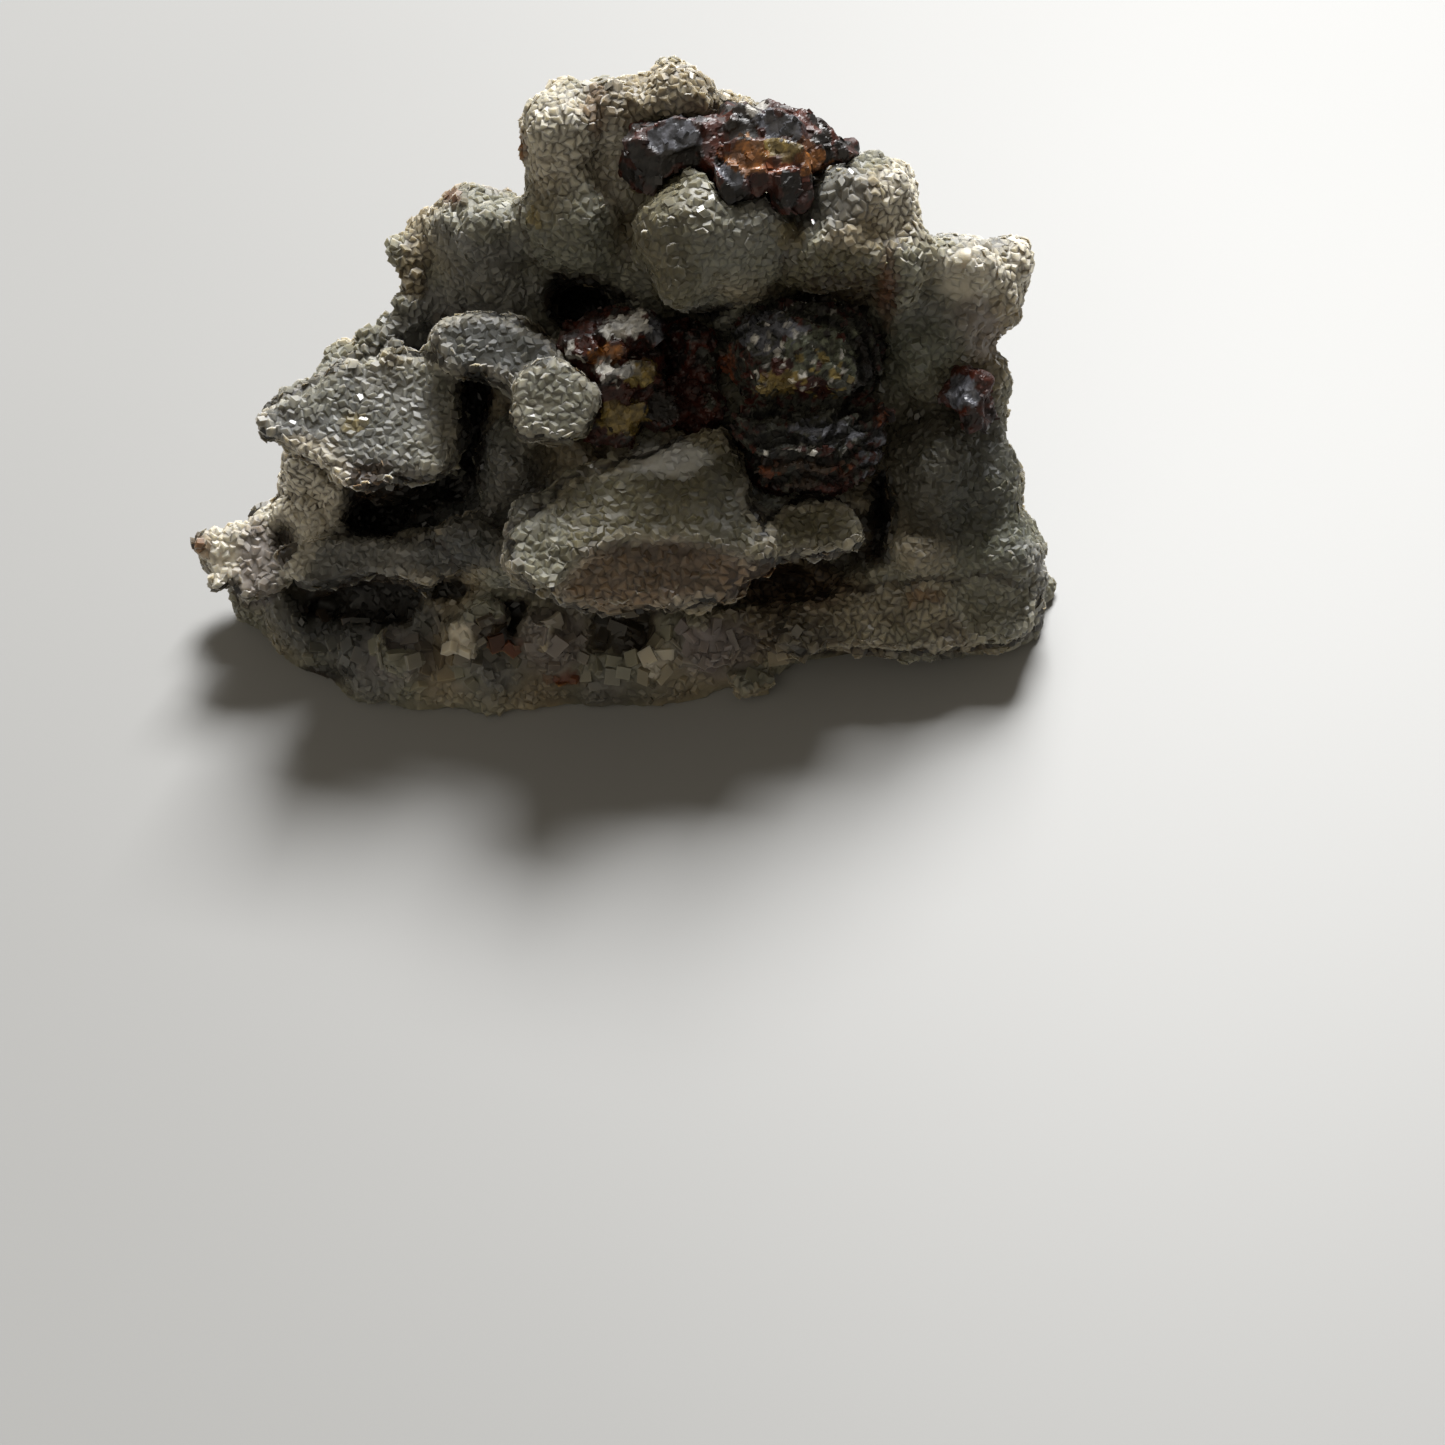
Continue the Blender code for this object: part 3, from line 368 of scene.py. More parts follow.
FRONT_FACES = [
    ("cream", [(-8.7, -11.2), (-7.9, -11.1), (-7.3, -11.2), (-7.3, -12.6), (-7.8, -12.8), (-8.7, -12.6)],
     -1.9, 8, -6),
    ("ash", [(-7.8, -10.4), (-7.2, -9.9), (-6.4, -9.8), (-5.8, -10.2), (-5.7, -10.7), (-6.2, -11.0),
             (-7.7, -11.0)],
     -1.2, 22, 6),
    ("rust", [(-6.8, -11.9), (-6.1, -11.6), (-5.2, -11.8), (-5.0, -12.3), (-5.2, -12.7), (-5.8, -12.6),
              (-6.6, -12.3)], -2.2, -10, 14),
    ("slate", [(-7.4, -12.9), (-6.4, -12.8), (-5.7, -13.7), (-5.8, -14.6), (-6.9, -14.1)], -3.4, 14, 18),
    ("ash", [(-8.7, -12.9), (-7.7, -13.4), (-6.8, -14.0), (-7.4, -14.3), (-8.4, -14.0)], -3.9, -12, -14),
    ("rust", [(-3.9, -14.0), (-3.3, -13.7), (-2.6, -13.5), (-1.6, -14.0), (-2.7, -14.3)], -3.2, -8, 4),
    ("ash", [(-12.4, -11.8), (-11.8, -11.1), (-11.9, -12.1), (-11.1, -12.6), (-10.2, -12.8), (-10.4, -13.4),
             (-10.9, -13.9), (-12.1, -13.2)], -3.6, 12, -10),
    ("cream", [(-3.9, -11.0), (-3.4, -10.9), (-3.3, -11.4), (-3.7, -11.8)], -0.9, 10, 10),
    ("sand", [(-4.1, -11.9), (-3.7, -11.8), (-3.7, -12.5), (-4.0, -12.6)], -1.0, 4, -10),
    ("cream", [(1.2, -12.3), (2.2, -12.2), (2.4, -13.6), (1.6, -14.0), (1.1, -13.4)], -2.3, 10, 14),
    ("lilac", [(3.0, -11.4), (4.8, -11.2), (5.6, -12.4), (4.6, -13.4), (3.2, -13.0)], -0.9, 16, -12),
    ("ash", [(5.2, -13.5), (7.4, -13.2), (7.6, -14.2), (5.8, -14.6)], -2.6, 20, 6),
]
# How far these crystals reach back into the stone, in mm
CRYSTAL_DEPTH = 1.4

# Lumps and pits rise and fall about these levels of their cells, so the skin keeps its volume
LUMP_LEVEL, PIT_LEVEL = 0.45, 0.4
# The slow swell under the lumps: its height in lump heights and its width in lump sizes
SWELL_HEIGHT, SWELL_SIZE = 1.1, 1.6
# Heights above the base in mm: where the lumps begin, and from where to where crevices and crystals set in
FLAT_BASE = 0.3
CREVICE_START = (0.4, 2.0)
DRUSE_START = (0.4, 0.8)
SHARD_START = (1.0, 2.0)
# The druse pieces meet this far left and right of the middle, in mm
DRUSE_SPLIT = 6.0
# Shards and flakes: smallest and largest edge in mm, and how far apart the shards are
SHARD_EDGES, SHARD_SPACING = (0.4, 1.1), 0.8
FLAKE_EDGES = (0.12, 0.4)
# Depth of the fine cleavage steps against the coarse ones, where flat crystals stand and where none do
FINE_WITH_CRYSTALS, FINE_ALONE = 0.22, 0.4

# Waxy or broken places with fewer crystals: middle right and up, half width and half height in mm, share left
WAXY = [
    (-6.6, 3.0, 3.6, 1.6, 0.8),
    (-3.4, -0.2, 2.2, 2.1, 0.9),
    (1.0, -5.2, 6.6, 3.2, 0.9),
    (2.4, -3.2, 2.2, 0.9, 0.45),
    (1.6, -8.9, 4.6, 1.3, 0.8),
    (3.4, 8.0, 4.0, 4.0, 0.9),
    (10.6, 9.8, 1.8, 2.2, 0.7),
    (17.2, 6.0, 1.8, 1.8, 0.6),
    (17.4, 3.4, 1.6, 1.6, 0.7),
    (-7.0, 8.4, 2.4, 2.6, 0.9),
    (-18.4, -8.0, 1.6, 2.2, 0.7),
    (-13.6, -10.6, 4.0, 2.2, 0.5),
    (-8.0, -12.6, 5.6, 2.6, 0.35),
    (0.0, -12.6, 7.0, 2.6, 0.35),
    (8.2, -9.2, 4.0, 1.4, 0.5),
]

# Where glassy shards lie on the front: middle right and up, half width and half height in mm, share of them
SHARDS = [
    (-8.2, -12.4, 4.4, 2.2, 0.9),
    (0.0, -12.4, 4.6, 2.0, 0.9),
    (6.6, -12.6, 3.6, 1.8, 0.8),
    (-13.6, -11.6, 2.6, 1.6, 0.6),
]

# Where iron stain sits between the crystals: middle right and up, half width and half height in mm, strength
STAINS = [
    (-2.9, 12.6, 2.8, 3.0, 0.6),
    (2.2, 14.6, 3.6, 2.4, 0.5),
    (-10.3, 6.6, 1.0, 2.2, 0.7),
    (13.7, 9.4, 1.8, 2.8, 0.8),
    (19.6, 6.4, 1.6, 2.2, 0.7),
    (11.0, 5.2, 3.4, 1.8, 0.8),
    (-15.6, -4.0, 2.2, 2.2, 0.8),
    (1.6, -8.9, 4.6, 1.5, 0.7),
    (8.2, -9.4, 4.0, 2.0, 1.0),
    (12.0, -11.2, 6.0, 1.8, 0.6),
    (-3.4, -0.2, 2.2, 2.1, 0.4),
    (-13.0, -4.2, 2.4, 0.8, 0.6),
]
STAIN_GROUND = 0.15

# How coarse the lumps and how tall the crystals are: middle right and up, half width and half height in mm,
# and how many times that of the rest
GRAINS = [
    (-2.9, 13.0, 2.8, 3.0, 1.0),
    (2.2, 14.6, 3.6, 2.4, 1.05),
    (13.7, 9.4, 1.6, 2.8, 0.95),
    (-10.6, 5.2, 0.8, 3.2, 1.5),
    (-12.6, 2.6, 2.4, 1.2, 1.6),
    (3.4, 8.0, 4.0, 3.6, 0.75),
    (0.8, -5.0, 6.4, 3.0, 0.65),
    (-3.4, -0.2, 2.6, 2.6, 0.55),
    (-6.6, 3.0, 3.4, 1.6, 0.55),
    (1.6, -8.9, 4.6, 1.3, 0.7),
    (-12.8, -1.0, 4.6, 2.6, 0.7),
    (-14.0, -9.6, 5.0, 4.0, 0.8),
    (17.0, -5.0, 4.0, 5.0, 0.8),
    (17.2, 6.2, 1.6, 1.6, 0.8),
]

# Plates are the broken edges of crusts: tint and its strength, how far the front stands out and the thickness
# in mm, lean in degrees, and the outline on the face
PLATES = {
    "centre": ("olive", 0.9, 5.0, 2.2, -18, [
        (-5.5, -6.6), (-5.2, -6.2), (-3.8, -5.5), (-3.1, -4.9), (-3.1, -4.5), (-2.3, -3.9), (-0.5, -3.45),
        (-0.1, -3.1), (1.1, -3.0), (2.0, -2.6), (3.1, -2.05), (3.7, -1.6), (5.0, -1.4), (5.2, -2.1),
        (6.1, -3.2), (6.1, -4.75), (6.8, -6.15), (6.8, -6.8), (7.2, -7.15), (7.2, -7.7), (6.8, -8.2),
        (6.0, -7.8), (3.0, -7.0), (0.0, -7.0), (-0.6, -7.4), (-1.5, -7.5), (-2.0, -8.0), (-2.6, -8.8),
        (-3.1, -9.25), (-4.0, -9.6), (-5.2, -8.4)]),
    "section": ("bark", 0.9, 4.3, 1.6, 8, [
        (-3.2, -9.8), (-2.6, -8.6), (-1.4, -7.5), (0.2, -7.0), (3.0, -7.0), (6.0, -7.8), (6.9, -8.4),
        (6.2, -9.0), (4.8, -9.9), (1.7, -10.4), (-1.0, -10.6)]),
    "olive": ("olive", 0.9, 4.0, 1.6, -10, [
        (7.0, -7.2), (7.3, -6.0), (8.4, -5.2), (9.6, -5.0), (10.6, -5.2), (11.4, -5.6), (12.1, -6.3),
        (11.8, -7.1), (10.9, -7.5), (10.0, -7.7), (9.3, -7.6), (8.5, -7.6), (7.6, -8.1)]),
    "tongue": ("fog", 0.95, 4.6, 1.6, -10, [
        (-9.6, 3.4), (-8.7, 3.8), (-7.5, 4.1), (-5.7, 4.0), (-3.9, 3.0), (-2.8, 2.0), (-2.3, 0.6),
        (-4.5, 0.0), (-5.8, 0.8), (-6.9, 1.25), (-8.2, 1.35), (-9.0, 1.9), (-9.2, 2.6)]),
    "knob": ("ash", 0.9, 6.35, 1.2, 0, [
        (-5.4, 0.8), (-4.6, 1.6), (-3.2, 1.9), (-2.0, 1.2), (-1.3, 0.3), (-1.3, -0.5), (-1.9, -1.7),
        (-2.7, -2.0), (-4.9, -1.8), (-5.4, -0.8)]),
    "ledge": ("slate", 0.3, 2.4, 1.4, -14, [
        (-18.0, -1.5), (-17.9, -0.9), (-17.1, -0.1), (-15.7, 0.3), (-13.2, 2.0), (-11.0, 2.2), (-9.5, 1.9),
        (-8.3, 1.2), (-8.0, -0.8), (-8.2, -2.9), (-9.1, -3.6), (-10.6, -4.0), (-11.9, -4.5), (-12.9, -4.6),
        (-14.0, -4.2), (-15.0, -3.2), (-16.3, -2.6)]),
    "lower_lip": ("slate", 0.5, -1.2, 1.2, -8, [
        (-17.4, -7.4), (-14.8, -6.9), (-11.6, -7.0), (-9.0, -7.4), (-8.4, -8.6), (-9.8, -9.3),
        (-11.0, -8.8), (-12.2, -8.6), (-13.4, -8.8), (-14.5, -9.4), (-15.6, -9.4), (-16.6, -8.6)]),
    # The tip's pale tint is partly painted light coming through the thin crust
    "left_tip": ("cream", 0.5, -5.6, 1.2, -6, [
        (-21.2, -7.2), (-20.5, -6.5), (-19.3, -6.2), (-18.2, -5.7), (-16.7, -5.0), (-15.4, -5.1),
        (-14.8, -6.6), (-15.6, -8.6), (-17.2, -9.6), (-18.8, -10.0), (-19.2, -8.9), (-20.2, -9.5),
        (-20.8, -9.0), (-20.3, -8.2), (-21.0, -7.8)]),
    "right_sill": ("olive", 0.2, -0.4, 2.0, -12, [
        (8.2, -10.3), (11.8, -9.6), (15.0, -9.1), (18.6, -9.0), (20.4, -9.7), (20.6, -11.2), (19.2, -12.0),
        (15.4, -12.5), (11.0, -12.4), (7.6, -12.4)]),
}
# Teeth of the plates' edges: how far apart and how long, in mm
TORN_STEP, TORN_REACH = 0.3, 0.32
TEETH_PER_MM = 3.1
# How strongly light through a plate's thin edge pales it
RIM_STRENGTH = 0.25


def face_point(right, up, out=0.0):
    """The point that lies right of and above the display face's middle, moved out towards the eye, in mm."""
    flat = FACE_CENTRE + FACE_TURN @ Vector((right, up, 0.0)) * MM
    return flat + (EYE - flat).normalized() * out * MM


def face_places(points):
    """How far right of and above the display face's middle each point lies, in mm."""
    eye, middle, turn = np.array(EYE), np.array(FACE_CENTRE), np.array(FACE_TURN)
    ray = points - eye
    flat = eye + ray * (((middle - eye) @ turn[:, 2]) / (ray @ turn[:, 2]))[:, None]
    return (flat - middle) @ turn[:, 0] / MM, (flat - middle) @ turn[:, 1] / MM


def add_piece(name, mesh):
    """An object at the origin that shows the mesh."""
    piece = bpy.data.objects.new(name, mesh)
    bpy.context.scene.collection.objects.link(piece)
    return piece


def merged_copy(node, name):
    """A copy of a solid's mesh, its loose triangles joined at their corners."""
    bm = bmesh.new()
    bm.from_mesh(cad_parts[node].data)
    bmesh.ops.remove_doubles(bm, verts=bm.verts, dist=0.001 * MM)
    mesh = bpy.data.meshes.new(name)
    bm.to_mesh(mesh)
    bm.free()
    return add_piece(name, mesh)


def settle(piece):
    """Applies the piece's modifiers."""
    bpy.context.view_layer.update()
    made = bpy.data.meshes.new_from_object(piece.evaluated_get(bpy.context.evaluated_depsgraph_get()))
    old = piece.data
    piece.modifiers.clear()
    piece.data = made
    made.name = piece.name
    bpy.data.meshes.remove(old)


def reskin(piece, voxel, rounds=0):
    """Gives the piece one even skin, relaxed a few rounds."""
    remesh = piece.modifiers.new("skin", "REMESH")
    remesh.mode = "VOXEL"
    remesh.voxel_size = voxel
    if rounds:
        smooth = piece.modifiers.new("relax", "SMOOTH")
        smooth.factor = 0.5
        smooth.iterations = rounds
    settle(piece)


def path_distance(right, up, path, closed):
    """How far each place on the face is from a path, in mm, and below zero inside a closed one."""
    near = np.full(len(right), np.inf)
    inside = np.zeros(len(right), bool)
    for (ax, ay), (bx, by) in zip(path, path[1:] + path[:1]) if closed else zip(path, path[1:]):
        length = (bx - ax) ** 2 + (by - ay) ** 2
        along = np.clip(((right - ax) * (bx - ax) + (up - ay) * (by - ay)) / length, 0.0, 1.0)
        near = np.minimum(near, np.hypot(right - ax - along * (bx - ax), up - ay - along * (by - ay)))
        if by != ay:
            inside ^= ((ay > up) != (by > up)) & (right < ax + (up - ay) * (bx - ax) / (by - ay))
    return np.where(inside, -near, near) if closed else near


def wandering_places(mesh):
    """Each point's place, where it lies on the face give or take a wander, and how much it faces the eye."""
    places = points_of(mesh)
    right, up = face_places(places)
    wander = np.array([noise.noise_vector(Vector(place) / (RAGGED_WAVE * MM)) for place in places])
    wander *= RAGGED_REACH
    towards_eye = ((np.array(EYE) - places) * points_of(mesh, "normal")).sum(1) / EYE_REACH
    return places, right + wander[:, 0], up + wander[:, 1], smooth_step(towards_eye, -0.35, 0.1)


def crevice_depth(right, up):
    """How far behind the skin each place lies, in mm: in crevices, in cracks and beside the plates' edges."""
    depth = np.zeros(len(right))
    for deep, outline in CREVICES:
        far = path_distance(right, up, outline, True)
        depth = np.maximum(depth, deep * (1 - smooth_step(far, -0.35, 0.05)))
    for deep, path in CRACKS:
        far = path_distance(right, up, path, False)
        depth = np.maximum(depth, deep * (1 - smooth_step(far, 0.0, CRACK_WIDTH)))
    beside = np.zeros(len(right))
    on_plate = np.zeros(len(right), bool)
    for *_, outline in PLATES.values():
        far = path_distance(right, up, outline, True)
        on_plate |= far < 0
        beside = np.maximum(beside, EDGE_DEPTH * (1 - smooth_step(far, 0.0, EDGE_REACH)))
    return np.maximum(depth, np.where(on_plate, 0.0, beside))


def carve(piece):
    """Pushes the crevices in, away from the eye."""
    mesh = piece.data
    places, right, up, facing = wandering_places(mesh)
    depth = crevice_depth(right, up)
    depth *= facing * smooth_step(places[:, 2] / MM, *CREVICE_START)
    ray = places - np.array(EYE)
    ray /= np.linalg.norm(ray, axis=1)[:, None]
    mesh.vertices.foreach_set("co", (places + ray * depth[:, None] * MM).astype(np.float32).ravel())
    mesh.update()


def torn(outline):
    """The outline with small teeth along its edges."""
    points = []
    for (right, up), (next_right, next_up) in zip(outline, outline[1:] + outline[:1]):
        across, rise = next_right - right, next_up - up
        steps = max(1, round(math.hypot(across, rise) / TORN_STEP))
        for step in range(steps):
            place = Vector((right + across * step / steps, up + rise * step / steps, 0.0))
            shift = noise.noise_vector(place * TEETH_PER_MM) * TORN_REACH
            points.append((place.x + shift.x, place.y + shift.y))
    return points


def add_prism(bm, outline, front, thickness, tilt):
    """An outline on the face with a thickness behind its front, tilted about its middle."""
    middle_right = sum(right for right, _ in outline) / len(outline)
    middle_up = sum(up for _, up in outline) / len(outline)
    middle = face_point(middle_right, middle_up, front)
    turn = FACE_TURN @ tilt
    rings = []
    for back in (0.0, -thickness):
        rings.append([bm.verts.new(middle + turn @ Vector((right - middle_right, up - middle_up, back)) * MM)
                      for right, up in outline])
    sides = [bm.faces.new(rings[0]), bm.faces.new(list(reversed(rings[1])))]
    for i in range(len(outline)):
        after = (i + 1) % len(outline)
        sides.append(bm.faces.new((rings[0][i], rings[1][i], rings[1][after], rings[0][after])))
    bmesh.ops.recalc_face_normals(bm, faces=sides)


def voronoi_cell(place, size):
    """The middle of the cell of the stone that a place lies in."""
    return noise.voronoi(place / size)[1][0] * size


def cleave(piece, size, depth):
    """Breaks the skin into flat cleavage faces: each cell of the stone gets a plane of its own tilt."""
    def to_plane(place):
        middle = voronoi_cell(place, size)
        # Cells lie far apart in this noise, so neighbours don't tilt alike
        tilt = noise.noise_vector(middle * (7.3 / MM))
        return depth * (tilt.dot(place - middle) / size + 0.5 * noise.noise(middle * (5.1 / MM)))
    push_out(piece, np.array([to_plane(Vector(place)) for place in points_of(piece.data)]))


def band_depth(right, up):
    """How deep each place on the face lies in the grooves of the banded nodule, from 0 to 1."""
    depth = np.zeros(len(right))
    for middle_right, middle_up, inner, outer, spacing in BANDS:
        far = np.hypot(right - middle_right, up - middle_up) + BAND_WAVER * np.sin(1.9 * right + 0.7 * up)
        groove = smooth_step(np.cos(far * 2 * math.pi / spacing), 0.2, 0.8)
        ends = smooth_step(far, inner, inner + BAND_FADE) * smooth_step(-far, -outer, BAND_FADE - outer)
        depth = np.maximum(depth, groove * ends)
    return depth


def points_of(mesh, what="co"):
    """Each point's place, or its normal."""
    values = np.empty(len(mesh.vertices) * 3, np.float32)
    if what == "co":
        mesh.vertices.foreach_get("co", values)
    else:
        mesh.vertex_normals.foreach_get("vector", values)
    return values.reshape(-1, 3).astype(float)


def push_out(piece, distance):
    """Moves each point along its normal by its own distance, and none of them below the floor."""
    mesh = piece.data
    moved = points_of(mesh) + points_of(mesh, "normal") * distance[:, None]
    moved[:, 2] = np.maximum(moved[:, 2], 0.0)
    mesh.vertices.foreach_set("co", moved.astype(np.float32).ravel())
    mesh.update()


def smooth_step(values, low, high):
    """Eases from 0 at the low value to 1 at the high one."""
    eased = np.clip((values - low) / (high - low), 0.0, 1.0)
    return eased * eased * (3 - 2 * eased)


def add_crystals(piece, crystals):
    """Adds flat-faced crystals to a piece, to be made one skin with it."""
    bm = bmesh.new()
    bm.from_mesh(piece.data)
    for _, outline, front, lean_up, lean_right in crystals:
        top_back = Matrix.Rotation(-math.radians(lean_up), 3, "X")
        side_back = Matrix.Rotation(math.radians(lean_right), 3, "Y")
        add_prism(bm, outline, front, CRYSTAL_DEPTH, top_back @ side_back)
    bmesh.ops.triangulate(bm, faces=[face for face in bm.faces if len(face.verts) > 4])
    bm.to_mesh(piece.data)
    bm.free()


def tint_crystals(tint, right, up, crystals, facing):
    """Gives each flat-faced crystal its own tint."""
    colours = bpy.context.scene.specimen_colours
    for name, outline, *_ in crystals:
        cover = (1 - smooth_step(path_distance(right, up, outline, True), -0.12, 0.06)) * facing
        tint += (np.array(getattr(colours, name)) - tint) * cover[:, None]


def daub_cover(right, up, daub):
    """How much of a daub lies on each point: all within two thirds of it, then fading out."""
    middle_right, middle_up, half_width, half_height = daub
    far = np.hypot((right - middle_right) / half_width, (up - middle_up) / half_height)
    return 1 - smooth_step(far, 0.65, 1.15)


def ground_tint(places, ground):
    """A mottled mix of three tints, in wide patches."""
    colours = bpy.context.scene.specimen_colours
    mottle = np.array([noise.noise(Vector(place) / (PATCH_SIZE * MM)) for place in places])
    first, second, third = (np.array(getattr(colours, name)) for name in ground)
    tint = first + (second - first) * smooth_step(mottle, -0.1, 0.5)[:, None]
    return tint + (third - tint) * smooth_step(-mottle, 0.0, 0.5)[:, None]


def write_tint(mesh, tint):
    """Writes each point's colour."""
    layer = mesh.attributes.new("tint", "FLOAT_COLOR", "POINT")
    layer.data.foreach_set("color", tint.astype(np.float32).ravel())


def paint(mesh, ground, daubs, crystals):
    """Writes each point's tint: mottled ground, plates with painted light at their thin edges, daubs with
    ragged edges, crystals, and painted shade in the crevices over their dark lining.
    """
    colours = bpy.context.scene.specimen_colours
    places, right, up, facing = wandering_places(mesh)
    tint = ground_tint(places, ground)
    for name, strength, *_, outline in PLATES.values():
        far = path_distance(right, up, outline, True)
        cover = strength * (1 - smooth_step(far, -0.15, 0.1)) * facing
        tint += (np.array(getattr(colours, name)) - tint) * cover[:, None]
        # Light comes through a plate's thin edge
        rim = RIM_STRENGTH * smooth_step(far, -0.5, -0.15) * (1 - smooth_step(far, -0.1, 0.1)) * facing
        tint += (np.array(colours.cream) - tint) * rim[:, None]
    for name, *daub, strength in daubs:
        cover = strength * daub_cover(right, up, daub) * facing
        tint += (np.array(getattr(colours, name)) - tint) * cover[:, None]
    tint_crystals(tint, right, up, crystals, facing)
    # Painted shade: crevices, cracks and the grooves beside the plates darken to brown, and to black where
    # deeper, over their real iron-stained lining
    deep = crevice_depth(right, up) * facing
    tint = tint + (np.array(colours.umber_and_shade) - tint) * (smooth_step(deep, 0.1, 0.5) * 0.7)[:, None]
    tint = tint + (np.array(colours.lining_and_shade) - tint) * (smooth_step(deep, 0.5, 1.1) * 0.9)[:, None]
    write_tint(mesh, tint)


def paint_mosaic(mesh, ground, daubs, size, crystals, banded):
    """Writes one tint for each cell of the stone, as on a broken cluster of crystals, and the cell's draw,
    with painted shade in the grooves of the banded nodule.
    """
    colours = bpy.context.scene.specimen_colours
    cells = np.array([voronoi_cell(Vector(place), size) for place in points_of(mesh)])
    right, up = face_places(cells)
    pick = np.array([noise.cell(Vector(middle) * (1000 / MM)) for middle in cells])
    tint = ground_tint(cells, ground)
    for name, *daub, strength in daubs:
        chosen = strength * daub_cover(right, up, daub) > pick
        tint[chosen] = getattr(colours, name)
        # A new draw from the old one, for the next daub
        pick = (pick * 7.13 + 0.31) % 1.0
    tint_crystals(tint, right, up, crystals, np.ones(len(right)))
    if banded:
        # Painted shade: the grooves of the banded nodule darken towards black
        grooves = band_depth(*face_places(points_of(mesh)))
        tint += (np.array(colours.lining_and_shade) - tint) * (BAND_SHADE * grooves)[:, None]
    write_tint(mesh, tint)
    write_number(mesh, "draw", pick)


def paint_number(mesh, name, ground, daubs):
    """Writes a number on each point: a ground value, and on each daub its own."""
    right, up = face_places(points_of(mesh))
    values = np.full(len(right), ground)
    for *daub, strength in daubs:
        values += (strength - values) * daub_cover(right, up, daub)
    write_number(mesh, name, values)


def clear_base(mesh, start, full):
    """Thins the crystals out towards the base, from full cover to none at the start, both in mm above it."""
    height = points_of(mesh)[:, 2] / MM
    write_number(mesh, "drusy", read_number(mesh, "drusy") * smooth_step(height, start, full))


def read_number(mesh, name):
    """The number on each point."""
    values = np.empty(len(mesh.vertices), np.float32)
    mesh.attributes[name].data.foreach_get("value", values)
    return values


def write_number(mesh, name, values):
    """Writes a number on each point."""
    layer = mesh.attributes.get(name) or mesh.attributes.new(name, "FLOAT", "POINT")
    layer.data.foreach_set("value", np.asarray(values, np.float32))


def in_use(sockets, name):
    """The socket of that name that the node's type of data uses, or the socket at that place."""
    if isinstance(name, int):
        return sockets[name]
    return next(socket for socket in sockets if socket.enabled and socket.name == name)


def add_node(tree, kind, links=(), **settings):
    """Adds a node. A setting that is no property sets the input of that name. Links are (input, socket)."""
    node = tree.nodes.new(kind)
    inputs = {name: value for name, value in settings.items() if not hasattr(node, name)}
    for name, value in settings.items():
        if name not in inputs:
            setattr(node, name, value)
    for name, value in inputs.items():
        in_use(node.inputs, name.replace("_", " ")).default_value = value
    for name, source in links:
        tree.links.new(source, in_use(node.inputs, name))
    return node


def stained(tree, colour, seams):
    """A colour with iron stain crept into the seams, as strongly as it is painted on the points. At the feet
    of the druse crystals this darkening is also painted shade between them.
    """
    stain = add_node(tree, "ShaderNodeAttribute", attribute_name="stain")
    amount = add_node(tree, "ShaderNodeMath", [(0, seams), (1, stain.outputs["Fac"])], operation="MULTIPLY")
    mix = add_node(tree, "ShaderNodeMix", [("Factor", amount.outputs["Value"]), ("A", colour)],
                   data_type="RGBA", B=linear(IRON_STAIN_AND_SHADE))
    return in_use(mix.outputs, "Result")


# Turns a cube so that it stands on one corner, like a rhomb of smithsonite
CORNER_UP = (math.pi / 4, math.atan(math.sqrt(0.5)), 0.0)
# More than the spacing leaves room for, so the spacing alone sets how many crystals there are
POINTS_PER_SQUARE_METRE = 4.0e7


